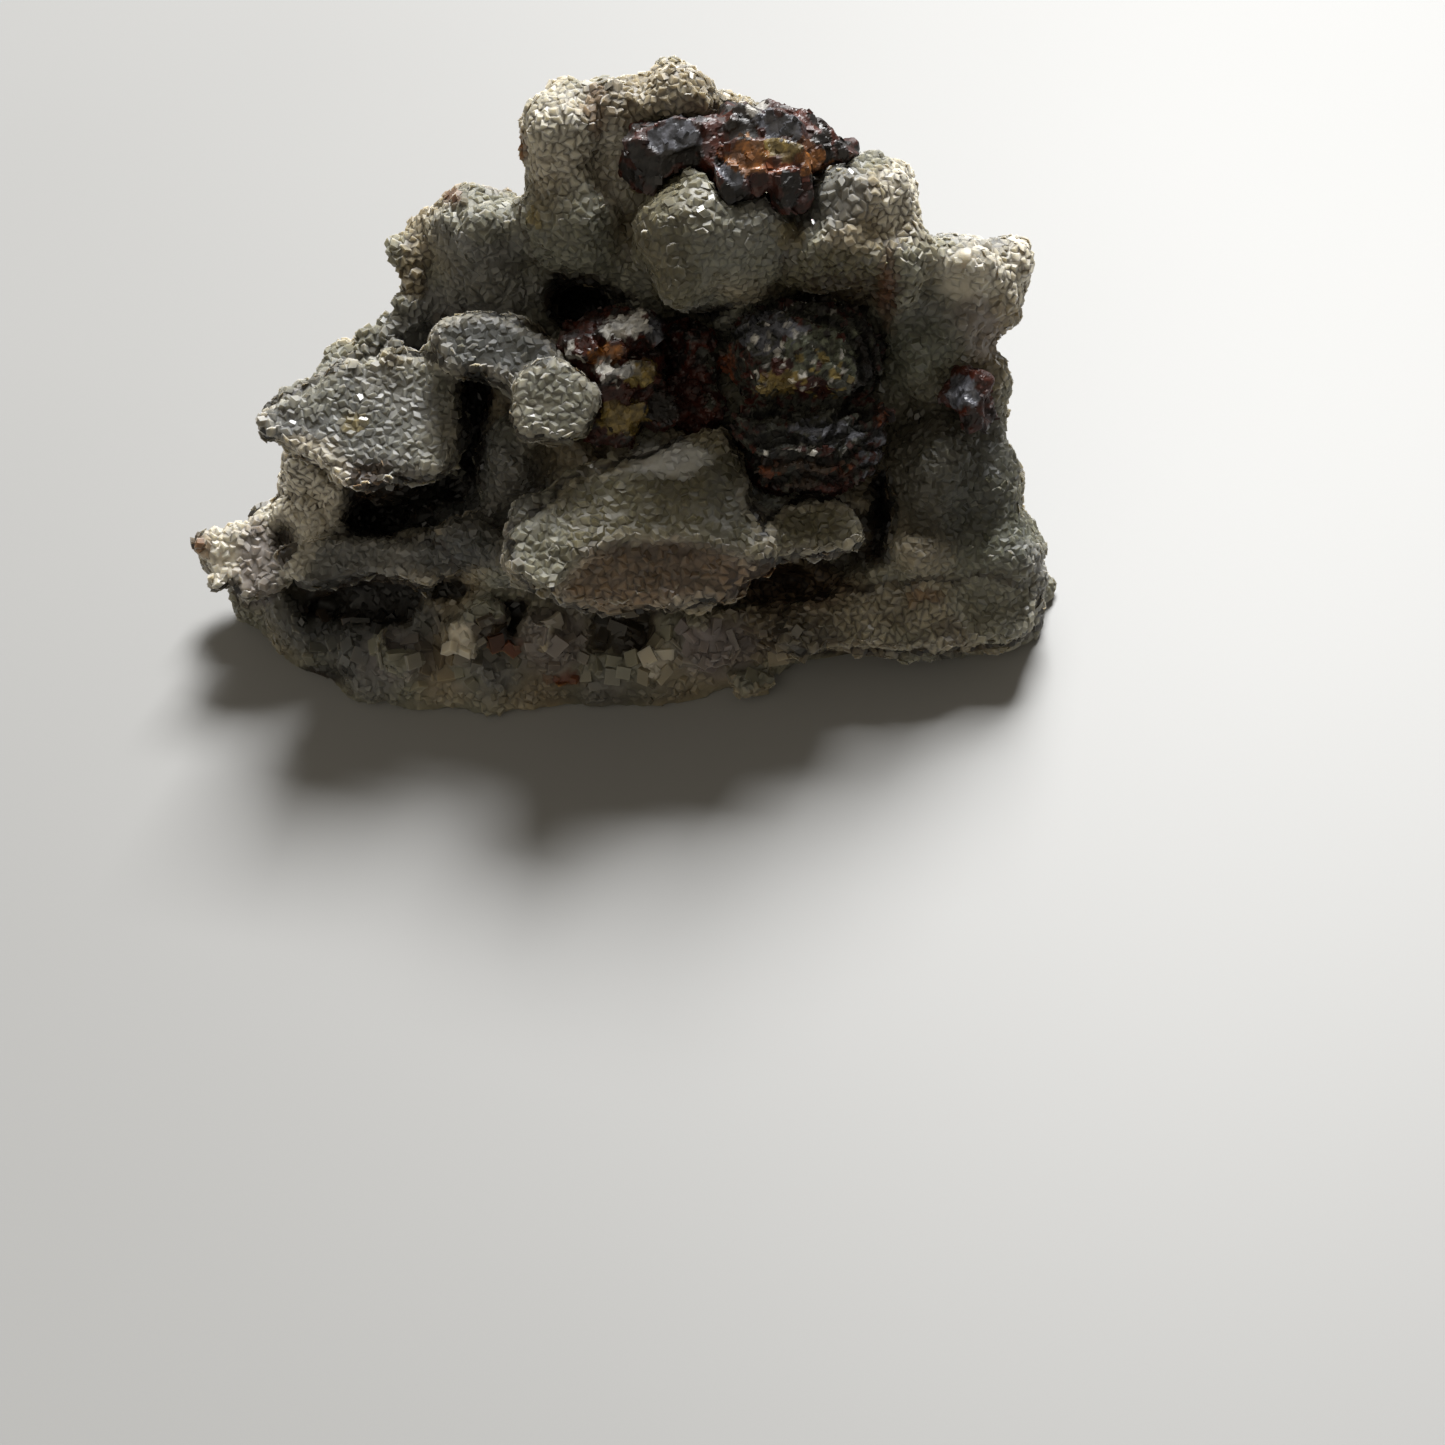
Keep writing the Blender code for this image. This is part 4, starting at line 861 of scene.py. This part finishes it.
def crystal_tree():
    """Sets crystals on a skin: a cube stood on its corner and flattened, or laid flat as a flake."""
    tree = bpy.data.node_groups.new("crystals_on_skin", "GeometryNodeTree")
    sockets = tree.interface
    sockets.new_socket("Skin", in_out="INPUT", socket_type="NodeSocketGeometry")
    for name in ("Spacing", "Smallest", "Largest", "Height", "Lean", "Stand", "Corner"):
        sockets.new_socket(name, in_out="INPUT", socket_type="NodeSocketFloat")
    sockets.new_socket("Seed", in_out="INPUT", socket_type="NodeSocketInt")
    sockets.new_socket("Finish", in_out="INPUT", socket_type="NodeSocketMaterial")
    sockets.new_socket("Crystals", in_out="OUTPUT", socket_type="NodeSocketGeometry")
    given = add_node(tree, "NodeGroupInput").outputs
    cover = add_node(tree, "GeometryNodeInputNamedAttribute", data_type="FLOAT", Name="drusy")
    spread = add_node(tree, "GeometryNodeDistributePointsOnFaces", [
        ("Mesh", given["Skin"]), ("Distance Min", given["Spacing"]),
        ("Density Factor", cover.outputs["Attribute"]), ("Seed", given["Seed"])],
        distribute_method="POISSON", Density_Max=POINTS_PER_SQUARE_METRE)
    cube = add_node(tree, "GeometryNodeMeshCube", Size=(1.0, 1.0, 1.0))
    corner = add_node(tree, "ShaderNodeVectorMath", [("Scale", given["Corner"])], operation="SCALE")
    corner.inputs[0].default_value = CORNER_UP
    stood = add_node(tree, "GeometryNodeTransform", [
        ("Geometry", cube.outputs["Mesh"]), ("Rotation", corner.outputs["Vector"])])
    height = add_node(tree, "ShaderNodeSeparateXYZ", [
        ("Vector", add_node(tree, "GeometryNodeInputPosition").outputs["Position"])])
    tipped = add_node(tree, "GeometryNodeStoreNamedAttribute", [
        ("Geometry", stood.outputs["Geometry"]), ("Value", height.outputs["Z"])],
        data_type="FLOAT", domain="POINT", Name="tip")
    tall = add_node(tree, "ShaderNodeCombineXYZ", [("Z", given["Height"])], X=1.0, Y=1.0)
    lift = add_node(tree, "ShaderNodeCombineXYZ", [("Z", given["Stand"])])
    crystal = add_node(tree, "GeometryNodeTransform", [
        ("Geometry", tipped.outputs["Geometry"]), ("Scale", tall.outputs["Vector"]),
        ("Translation", lift.outputs["Vector"])])
    back = add_node(tree, "ShaderNodeMath", [(0, given["Lean"])], operation="MULTIPLY")
    back.inputs[1].default_value = -1.0
    least = add_node(tree, "ShaderNodeCombineXYZ", [
        ("X", back.outputs["Value"]), ("Y", back.outputs["Value"])], Z=-math.pi)
    most = add_node(tree, "ShaderNodeCombineXYZ", [("X", given["Lean"]), ("Y", given["Lean"])], Z=math.pi)
    lean = add_node(tree, "FunctionNodeRandomValue", [
        ("Min", least.outputs["Vector"]), ("Max", most.outputs["Vector"]), ("Seed", given["Seed"])],
        data_type="FLOAT_VECTOR")
    turned = add_node(tree, "FunctionNodeRotateRotation", [
        ("Rotation", spread.outputs["Rotation"]), ("Rotate By", lean.outputs["Value"])],
        rotation_space="LOCAL")
    smallest = add_node(tree, "ShaderNodeCombineXYZ", [(axis, given["Smallest"]) for axis in "XYZ"])
    largest = add_node(tree, "ShaderNodeCombineXYZ", [(axis, given["Largest"]) for axis in "XYZ"])
    size = add_node(tree, "FunctionNodeRandomValue", [
        ("Min", smallest.outputs["Vector"]), ("Max", largest.outputs["Vector"]), ("Seed", given["Seed"])],
        data_type="FLOAT_VECTOR")
    grain = add_node(tree, "GeometryNodeInputNamedAttribute", data_type="FLOAT", Name="grain")
    flat = add_node(tree, "ShaderNodeCombineXYZ", [("Z", grain.outputs["Attribute"])], X=1.0, Y=1.0)
    grown = add_node(tree, "ShaderNodeVectorMath", [
        (0, size.outputs["Value"]), (1, flat.outputs["Vector"])], operation="MULTIPLY")
    planted = add_node(tree, "GeometryNodeInstanceOnPoints", [
        ("Points", spread.outputs["Points"]), ("Instance", crystal.outputs["Geometry"]),
        ("Rotation", turned.outputs["Rotation"]), ("Scale", grown.outputs["Vector"])])
    draw = add_node(tree, "FunctionNodeRandomValue", [("Seed", given["Seed"])], data_type="FLOAT")
    drawn = add_node(tree, "GeometryNodeStoreNamedAttribute", [
        ("Geometry", planted.outputs["Instances"]), ("Value", in_use(draw.outputs, "Value"))],
        data_type="FLOAT", domain="INSTANCE", Name="draw")
    real = add_node(tree, "GeometryNodeRealizeInstances", [("Geometry", drawn.outputs["Geometry"])])
    coated = add_node(tree, "GeometryNodeSetMaterial", [
        ("Geometry", real.outputs["Geometry"]), ("Material", given["Finish"])])
    add_node(tree, "NodeGroupOutput", [("Crystals", coated.outputs["Geometry"])])
    return tree


def grow_crystals(skin, name, finish, **inputs):
    """Crystals on a skin mesh, as a plain mesh. Inputs are the tree's: Corner is 0 for a cube laid flat."""
    tree = bpy.data.node_groups.get("crystals_on_skin") or crystal_tree()
    carrier = add_piece(name, skin)
    modifier = carrier.modifiers.new("crystals", "NODES")
    modifier.node_group = tree
    given = {"Finish": finish, "Corner": 1.0, "Stand": 0.0, **inputs}
    for item in tree.interface.items_tree:
        if item.in_out == "INPUT" and item.name in given:
            modifier[item.identifier] = given[item.name]
    bpy.context.view_layer.update()
    crystals = bpy.data.meshes.new_from_object(carrier.evaluated_get(bpy.context.evaluated_depsgraph_get()))
    carrier.modifiers.clear()
    bpy.data.objects.remove(carrier)
    crystals.name = name
    return crystals


def part_of(mesh, keep):
    """A copy of a mesh with only the faces whose middle and normal the test keeps."""
    part = mesh.copy()
    bm = bmesh.new()
    bm.from_mesh(part)
    lost = [face for face in bm.faces if not keep(face.calc_center_median(), face.normal)]
    bmesh.ops.delete(bm, geom=lost, context="FACES")
    bm.to_mesh(part)
    bm.free()
    return part


def joined(name, meshes):
    """One mesh of several that share their materials."""
    bm = bmesh.new()
    for mesh in meshes:
        bm.from_mesh(mesh)
    made = bpy.data.meshes.new(name)
    bm.to_mesh(made)
    bm.free()
    for material in meshes[0].materials:
        made.materials.append(material)
    return made


def finish_piece(piece, slot, *nodes):
    """Hands a finished piece to the frame: it rides on the one body and stands for the solids named."""
    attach(piece, "root")
    if nodes:
        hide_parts(*nodes)


def new_material(name):
    """A material, its tree and its shader."""
    material = bpy.data.materials.new(name)
    material.use_nodes = True
    tree = material.node_tree
    return material, tree, tree.nodes["Principled BSDF"]


def smithsonite_skin():
    """Massive smithsonite under the druse: zinc carbonate, waxy, and light passes a little way into it.

    Its index is set below the mineral's 1.62 to 1.85, because the broken crust is duller than a clean face.
    """
    material, tree, shader = new_material("smithsonite_massive_waxy")
    tint = add_node(tree, "ShaderNodeAttribute", attribute_name="tint")
    place = add_node(tree, "ShaderNodeTexCoord").outputs["Object"]
    # Grains 0.5 mm wide, with iron stain in the seams between them
    grains = add_node(tree, "ShaderNodeTexVoronoi", [("Vector", place)], feature="DISTANCE_TO_EDGE",
                      Scale=1 / (0.5 * MM))
    seams = add_node(tree, "ShaderNodeMapRange", [("Value", grains.outputs["Distance"])],
                     From_Max=0.2, To_Min=1.0, To_Max=0.3)
    colour = stained(tree, tint.outputs["Color"], seams.outputs["Result"])
    tree.links.new(colour, shader.inputs["Base Color"])
    # Waxy unevenness 0.25 mm wide
    bumps = add_node(tree, "ShaderNodeTexNoise", [("Vector", place)], Scale=1 / (0.25 * MM), Detail=3.0)
    bump = add_node(tree, "ShaderNodeBump", [("Height", bumps.outputs["Fac"])],
                    Strength=0.6, Distance=0.06 * MM)
    tree.links.new(bump.outputs["Normal"], shader.inputs["Normal"])
    shader.inputs["Roughness"].default_value = 0.5
    shader.inputs["IOR"].default_value = 1.5
    shader.inputs["Subsurface Weight"].default_value = 0.6
    shader.inputs["Subsurface Radius"].default_value = (1.0, 0.85, 0.6)
    shader.inputs["Subsurface Scale"].default_value = 1.4 * MM
    return material


def smithsonite_druse():
    """Druse of tiny smithsonite rhombs: sugary, each a little lighter or darker, with a few that glint."""
    material, tree, shader = new_material("smithsonite_sugary_druse")
    tint = add_node(tree, "ShaderNodeAttribute", attribute_name="tint")
    draw = add_node(tree, "ShaderNodeAttribute", attribute_name="draw")
    light = add_node(tree, "ShaderNodeMapRange", [("Value", draw.outputs["Fac"])], To_Min=0.8, To_Max=1.2)
    shade = add_node(tree, "ShaderNodeVectorMath", [
        (0, tint.outputs["Color"]), ("Scale", light.outputs["Result"])], operation="SCALE")
    # Iron stain has crept in between the crystals, up to a third of the way to their tips. Darkening their
    # feet also paints the shade between them.
    tip = add_node(tree, "ShaderNodeAttribute", attribute_name="tip")
    low = add_node(tree, "ShaderNodeMapRange", [("Value", tip.outputs["Fac"])], From_Min=0.35, From_Max=0.0)
    colour = stained(tree, shade.outputs["Vector"], low.outputs["Result"])
    tree.links.new(colour, shader.inputs["Base Color"])
    gloss = add_node(tree, "ShaderNodeMapRange", [("Value", draw.outputs["Fac"])],
                     From_Max=0.22, To_Min=0.12, To_Max=0.52)
    tree.links.new(gloss.outputs["Result"], shader.inputs["Roughness"])
    shader.inputs["IOR"].default_value = 1.5
    shader.inputs["Subsurface Weight"].default_value = 0.7
    shader.inputs["Subsurface Radius"].default_value = (1.0, 0.9, 0.72)
    shader.inputs["Subsurface Scale"].default_value = 0.8 * MM
    return material


def sphalerite(name, smoothest, roughest, index):
    """Sphalerite, zinc sulphide: each cleavage face lighter or darker, smoother or duller than the next.

    Its index is set below the mineral's 2.37, because worn and coated faces reflect far less.
    """
    material, tree, shader = new_material(name)
    tint = add_node(tree, "ShaderNodeAttribute", attribute_name="tint")
    draw = add_node(tree, "ShaderNodeAttribute", attribute_name="draw")
    place = add_node(tree, "ShaderNodeTexCoord").outputs["Object"]
    # Cleavage steps 0.3 mm apart across the faces
    steps = add_node(tree, "ShaderNodeTexNoise", [("Vector", place)], Scale=1 / (0.3 * MM), Detail=4.0)
    light = add_node(tree, "ShaderNodeMapRange", [("Value", draw.outputs["Fac"])], To_Min=0.55, To_Max=1.35)
    mottle = add_node(tree, "ShaderNodeMapRange", [("Value", steps.outputs["Fac"])],
                      From_Min=0.35, From_Max=0.65, To_Min=0.6, To_Max=1.4)
    both = add_node(tree, "ShaderNodeMath", [
        (0, light.outputs["Result"]), (1, mottle.outputs["Result"])], operation="MULTIPLY")
    shade = add_node(tree, "ShaderNodeVectorMath", [
        (0, tint.outputs["Color"]), ("Scale", both.outputs["Value"])], operation="SCALE")
    tree.links.new(shade.outputs["Vector"], shader.inputs["Base Color"])
    gloss = add_node(tree, "ShaderNodeMapRange", [("Value", draw.outputs["Fac"])],
                     To_Min=roughest, To_Max=smoothest)
    tree.links.new(gloss.outputs["Result"], shader.inputs["Roughness"])
    bump = add_node(tree, "ShaderNodeBump", [("Height", steps.outputs["Fac"])],
                    Strength=0.5, Distance=0.08 * MM)
    tree.links.new(bump.outputs["Normal"], shader.inputs["Normal"])
    shader.inputs["IOR"].default_value = index
    return material


def sphalerite_resinous():
    """Fresh cleaved sphalerite, resinous to half metallic: deep brown with sharp glints."""
    return sphalerite("sphalerite_resinous_cleaved", smoothest=0.35, roughest=0.65, index=1.5)


def sphalerite_weathered():
    """Weathered sphalerite with an iron skin: dull, with few glints."""
    return sphalerite("sphalerite_weathered_dull", smoothest=0.5, roughest=0.8, index=1.45)


def pale_floor():
    """Matt off-white laminate under the specimen."""
    material, tree, shader = new_material("floor_matt_laminate")
    place = add_node(tree, "ShaderNodeTexCoord").outputs["Object"]
    # Clouds 60 mm wide, too faint to read as a pattern
    cloud = add_node(tree, "ShaderNodeTexNoise", [("Vector", place)], Scale=1 / (60 * MM), Detail=2.0)
    ramp = add_node(tree, "ShaderNodeValToRGB", [("Fac", cloud.outputs["Fac"])])
    ramp.color_ramp.elements[0].color = linear("#8f8f8e")
    ramp.color_ramp.elements[1].color = linear("#959594")
    tree.links.new(ramp.outputs["Color"], shader.inputs["Base Color"])
    shader.inputs["Roughness"].default_value = 0.55
    return material


MADE = {}


def material_of(make):
    """The material that a function makes, made once."""
    if make.__name__ not in MADE:
        MADE[make.__name__] = make()
    return MADE[make.__name__]


class SPECIMEN_OT_crust(bpy.types.Operator):
    """Grows the smithsonite's fine skin from its solid"""

    bl_idname = "specimen.crust"
    bl_label = "Smithsonite Crust"

    def execute(self, context):
        sizes = context.scene.specimen_sizes
        noise.seed_set(sizes.seed)
        crust = merged_copy("smithsonite_crust", "smithsonite_skin")
        bm = bmesh.new()
        bm.from_mesh(crust.data)
        for _, _, front, thickness, lean, outline in PLATES.values():
            add_prism(bm, torn(outline), front, thickness, Matrix.Rotation(math.radians(lean), 3, "X"))
        bmesh.ops.triangulate(bm, faces=[face for face in bm.faces if len(face.verts) > 4])
        bm.to_mesh(crust.data)
        bm.free()
        reskin(crust, sizes.skin_voxel)
        carve(crust)
        add_crystals(crust, FRONT_FACES)
        reskin(crust, sizes.skin_voxel)
        mesh = crust.data
        paint_number(mesh, "grain", 1.0, GRAINS)
        coarse = read_number(mesh, "grain")

        def lumps(place):
            if place.z < FLAT_BASE * MM:
                return 0.0
            lump = LUMP_LEVEL - noise.voronoi(place / sizes.lump_size)[0][0]
            pit = PIT_LEVEL - noise.voronoi(place / sizes.pit_size)[0][0]
            swell = SWELL_HEIGHT * noise.noise(place / (SWELL_SIZE * sizes.lump_size))
            return sizes.lump_height * (lump + swell) + sizes.pit_depth * pit

        push_out(crust, coarse ** 2 * np.array([lumps(Vector(place)) for place in points_of(mesh)]))
        paint(mesh, SKIN_GROUND, CRUST_DAUBS, FRONT_FACES)
        paint_number(mesh, "drusy", 1.0, WAXY)
        clear_base(mesh, *DRUSE_START)
        paint_number(mesh, "stain", STAIN_GROUND, STAINS)
        mesh.materials.append(material_of(smithsonite_skin))
        mesh.shade_smooth()
        finish_piece(crust, "smithsonite", "smithsonite_crust")
        return {"FINISHED"}


class SPECIMEN_OT_druse(bpy.types.Operator):
    """Sets the druse of tiny rhombs on the crust, in four pieces, and the shards low on the front"""

    bl_idname = "specimen.druse"
    bl_label = "Druse"

    def execute(self, context):
        sizes = context.scene.specimen_sizes
        skin = bpy.data.objects["smithsonite_skin"].data
        split = DRUSE_SPLIT * MM

        def shown(place, normal):
            # Also a little past the outline, where crystals still stand against the light
            return (EYE - place).dot(normal) > -0.1 * (EYE - place).length

        parts = {
            "druse_left": lambda place, normal: shown(place, normal) and place.x < -split,
            "druse_middle": lambda place, normal: shown(place, normal) and -split <= place.x < split,
            "druse_right": lambda place, normal: shown(place, normal) and place.x >= split,
            "druse_back": lambda place, normal: not shown(place, normal),
        }
        for count, (name, keep) in enumerate(parts.items()):
            behind = name == "druse_back"
            crystals = grow_crystals(
                part_of(skin, keep), name, material_of(smithsonite_druse),
                Spacing=sizes.back_spacing if behind else sizes.druse_spacing,
                Smallest=sizes.druse_size * 0.75, Largest=sizes.druse_size * (1.5 if behind else 1.3),
                Height=0.48, Lean=0.3, Stand=-0.04, Seed=sizes.seed + count)
            finish_piece(add_piece(name, crystals), "smithsonite")
        front = part_of(skin, shown)
        paint_number(front, "drusy", 0.0, SHARDS)
        clear_base(front, *SHARD_START)
        smallest, largest = SHARD_EDGES
        shards = grow_crystals(
            front, "front_shards", material_of(smithsonite_druse), Spacing=SHARD_SPACING * MM,
            Smallest=smallest * MM, Largest=largest * MM, Corner=0.0, Height=0.4, Lean=0.6,
            Seed=sizes.seed + 10)
        finish_piece(add_piece("front_shards", shards), "smithsonite")
        return {"FINISHED"}


class SPECIMEN_OT_sphalerite(bpy.types.Operator):
    """Grows the dark sphalerite bodies: cleaved cores with flat crystals, grooves and flakes"""

    bl_idname = "specimen.sphalerite"
    bl_label = "Sphalerite"

    def execute(self, context):
        sizes = context.scene.specimen_sizes
        noise.seed_set(sizes.seed)
        # Sizes of the large and small cleavage faces, depth of the steps between them and spacing of the
        # flakes, all in mm, then the flat-faced crystals and the finish
        heaps = {
            "top_sphalerite": (1.5, 0.5, 0.5, 0.9, TOP_FACES, sphalerite_resinous),
            "left_sphalerite": (0.9, 0.32, 0.55, 0.6, LEFT_FACES, sphalerite_resinous),
            "right_sphalerite": (1.1, 0.3, 0.6, 0.55, (), sphalerite_weathered),
            "gap_sphalerite": (1.0, 0.45, 0.7, 0.7, (), sphalerite_resinous),
            "edge_sphalerite": (1.1, 0.5, 0.5, 0.9, (), sphalerite_resinous),
        }
        for count, (node, (large, small, depth, spacing, faces, make)) in enumerate(heaps.items()):
            finish = material_of(make)
            core = merged_copy(node, node + "_core")
            reskin(core, sizes.sphalerite_voxel, 1)
            cleave(core, large * MM, depth * MM)
            add_crystals(core, faces)
            reskin(core, sizes.sphalerite_voxel)
            cleave(core, small * MM, depth * (FINE_WITH_CRYSTALS if faces else FINE_ALONE) * MM)
            mesh = core.data
            banded = node == "right_sphalerite"
            if banded:
                push_out(core, band_depth(*face_places(points_of(mesh))) * -BAND_GROOVE * MM)
            paint_mosaic(mesh, NODULE_GROUND, NODULE_DAUBS, small * MM, faces, banded)
            write_number(mesh, "drusy", np.ones(len(mesh.vertices)))
            write_number(mesh, "grain", np.ones(len(mesh.vertices)))
            flakes = grow_crystals(
                mesh.copy(), node + "_flakes", finish, Spacing=spacing * MM, Smallest=FLAKE_EDGES[0] * MM,
                Largest=FLAKE_EDGES[1] * MM, Corner=0.0, Height=0.5, Lean=0.6, Stand=-0.1,
                Seed=sizes.seed + 20 + count)
            mesh.materials.append(finish)
            body = add_piece(node + "_crystals", joined(node + "_crystals", [mesh, flakes]))
            bpy.data.objects.remove(core)
            finish_piece(body, "sphalerite", node)
        return {"FINISHED"}


class SPECIMEN_OT_stage(bpy.types.Operator):
    """Lays the pale floor and sets the soft lights and the camera"""

    bl_idname = "specimen.stage"
    bl_label = "Studio Stage"

    def execute(self, context):
        scene = context.scene
        bm = bmesh.new()
        bmesh.ops.create_grid(bm, x_segments=1, y_segments=1, size=FLOOR_REACH)
        mesh = bpy.data.meshes.new("floor")
        bm.to_mesh(mesh)
        bm.free()
        floor = add_piece("floor", mesh)
        mesh.materials.append(material_of(pale_floor))
        # Power in watts, size and distance in metres, the direction from the specimen, and the colour
        lamps = {
            "window_key": (4.4, 0.16, 0.42, (0.42, 0.80, 1.12), (1.0, 1.0, 1.0)),
            "front_fill": (0.42, 0.50, 0.50, (-0.50, -0.85, 0.75), (1.0, 0.93, 0.79)),
        }
        for name, (power, size, distance, way, tone) in lamps.items():
            light = bpy.data.lights.new(name, "AREA")
            light.energy = power
            light.size = size
            light.color = tone
            lamp = bpy.data.objects.new(name, light)
            lamp.location = Vector(way).normalized() * distance + Vector((0.0, 0.0, 10 * MM))
            lamp.rotation_euler = Vector(way).to_track_quat("Z", "Y").to_euler()
            scene.collection.objects.link(lamp)
        world = bpy.data.worlds.new("soft_sky")
        world.use_nodes = True
        sky = world.node_tree.nodes["Background"]
        sky.inputs["Color"].default_value = linear("#eee3d1")
        sky.inputs["Strength"].default_value = 0.20
        scene.world = world
        camera = bpy.data.objects.new("camera", bpy.data.cameras.new("camera"))
        camera.data.lens = CAMERA_LENS
        camera.data.sensor_width = CAMERA_SENSOR
        camera.data.clip_start = 1 * MM
        camera.location = EYE
        camera.rotation_euler = FACE_TURN.to_euler()
        scene.collection.objects.link(camera)
        scene.camera = camera
        scene.view_settings.view_transform = "Standard"
        return {"FINISHED"}


class SPECIMEN_PT_panel(bpy.types.Panel):
    """Lists the specimen's sizes, colours and steps"""

    bl_idname = "SPECIMEN_PT_panel"
    bl_label = "Smithsonite Specimen"
    bl_space_type = "VIEW_3D"
    bl_region_type = "UI"
    bl_category = "Specimen"

    def draw(self, context):
        layout = self.layout
        for group in (context.scene.specimen_sizes, context.scene.specimen_colours):
            column = layout.column(align=True)
            for name in group.bl_rna.properties.keys():
                if name not in ("rna_type", "name"):
                    column.prop(group, name)
        for step in STEPS:
            layout.operator(step.bl_idname)


STEPS = (SPECIMEN_OT_crust, SPECIMEN_OT_druse, SPECIMEN_OT_sphalerite, SPECIMEN_OT_stage)
CLASSES = (SpecimenSizes, SpecimenColours, *STEPS, SPECIMEN_PT_panel)


def register():
    for cls in CLASSES:
        bpy.utils.register_class(cls)
    bpy.types.Scene.specimen_sizes = PointerProperty(type=SpecimenSizes)
    bpy.types.Scene.specimen_colours = PointerProperty(type=SpecimenColours)


def unregister():
    del bpy.types.Scene.specimen_colours
    del bpy.types.Scene.specimen_sizes
    for cls in reversed(CLASSES):
        bpy.utils.unregister_class(cls)


def main():
    register()
    bpy.ops.specimen.crust()
    bpy.ops.specimen.druse()
    bpy.ops.specimen.sphalerite()
    bpy.ops.specimen.stage()


if __name__ == "__main__":
    main()
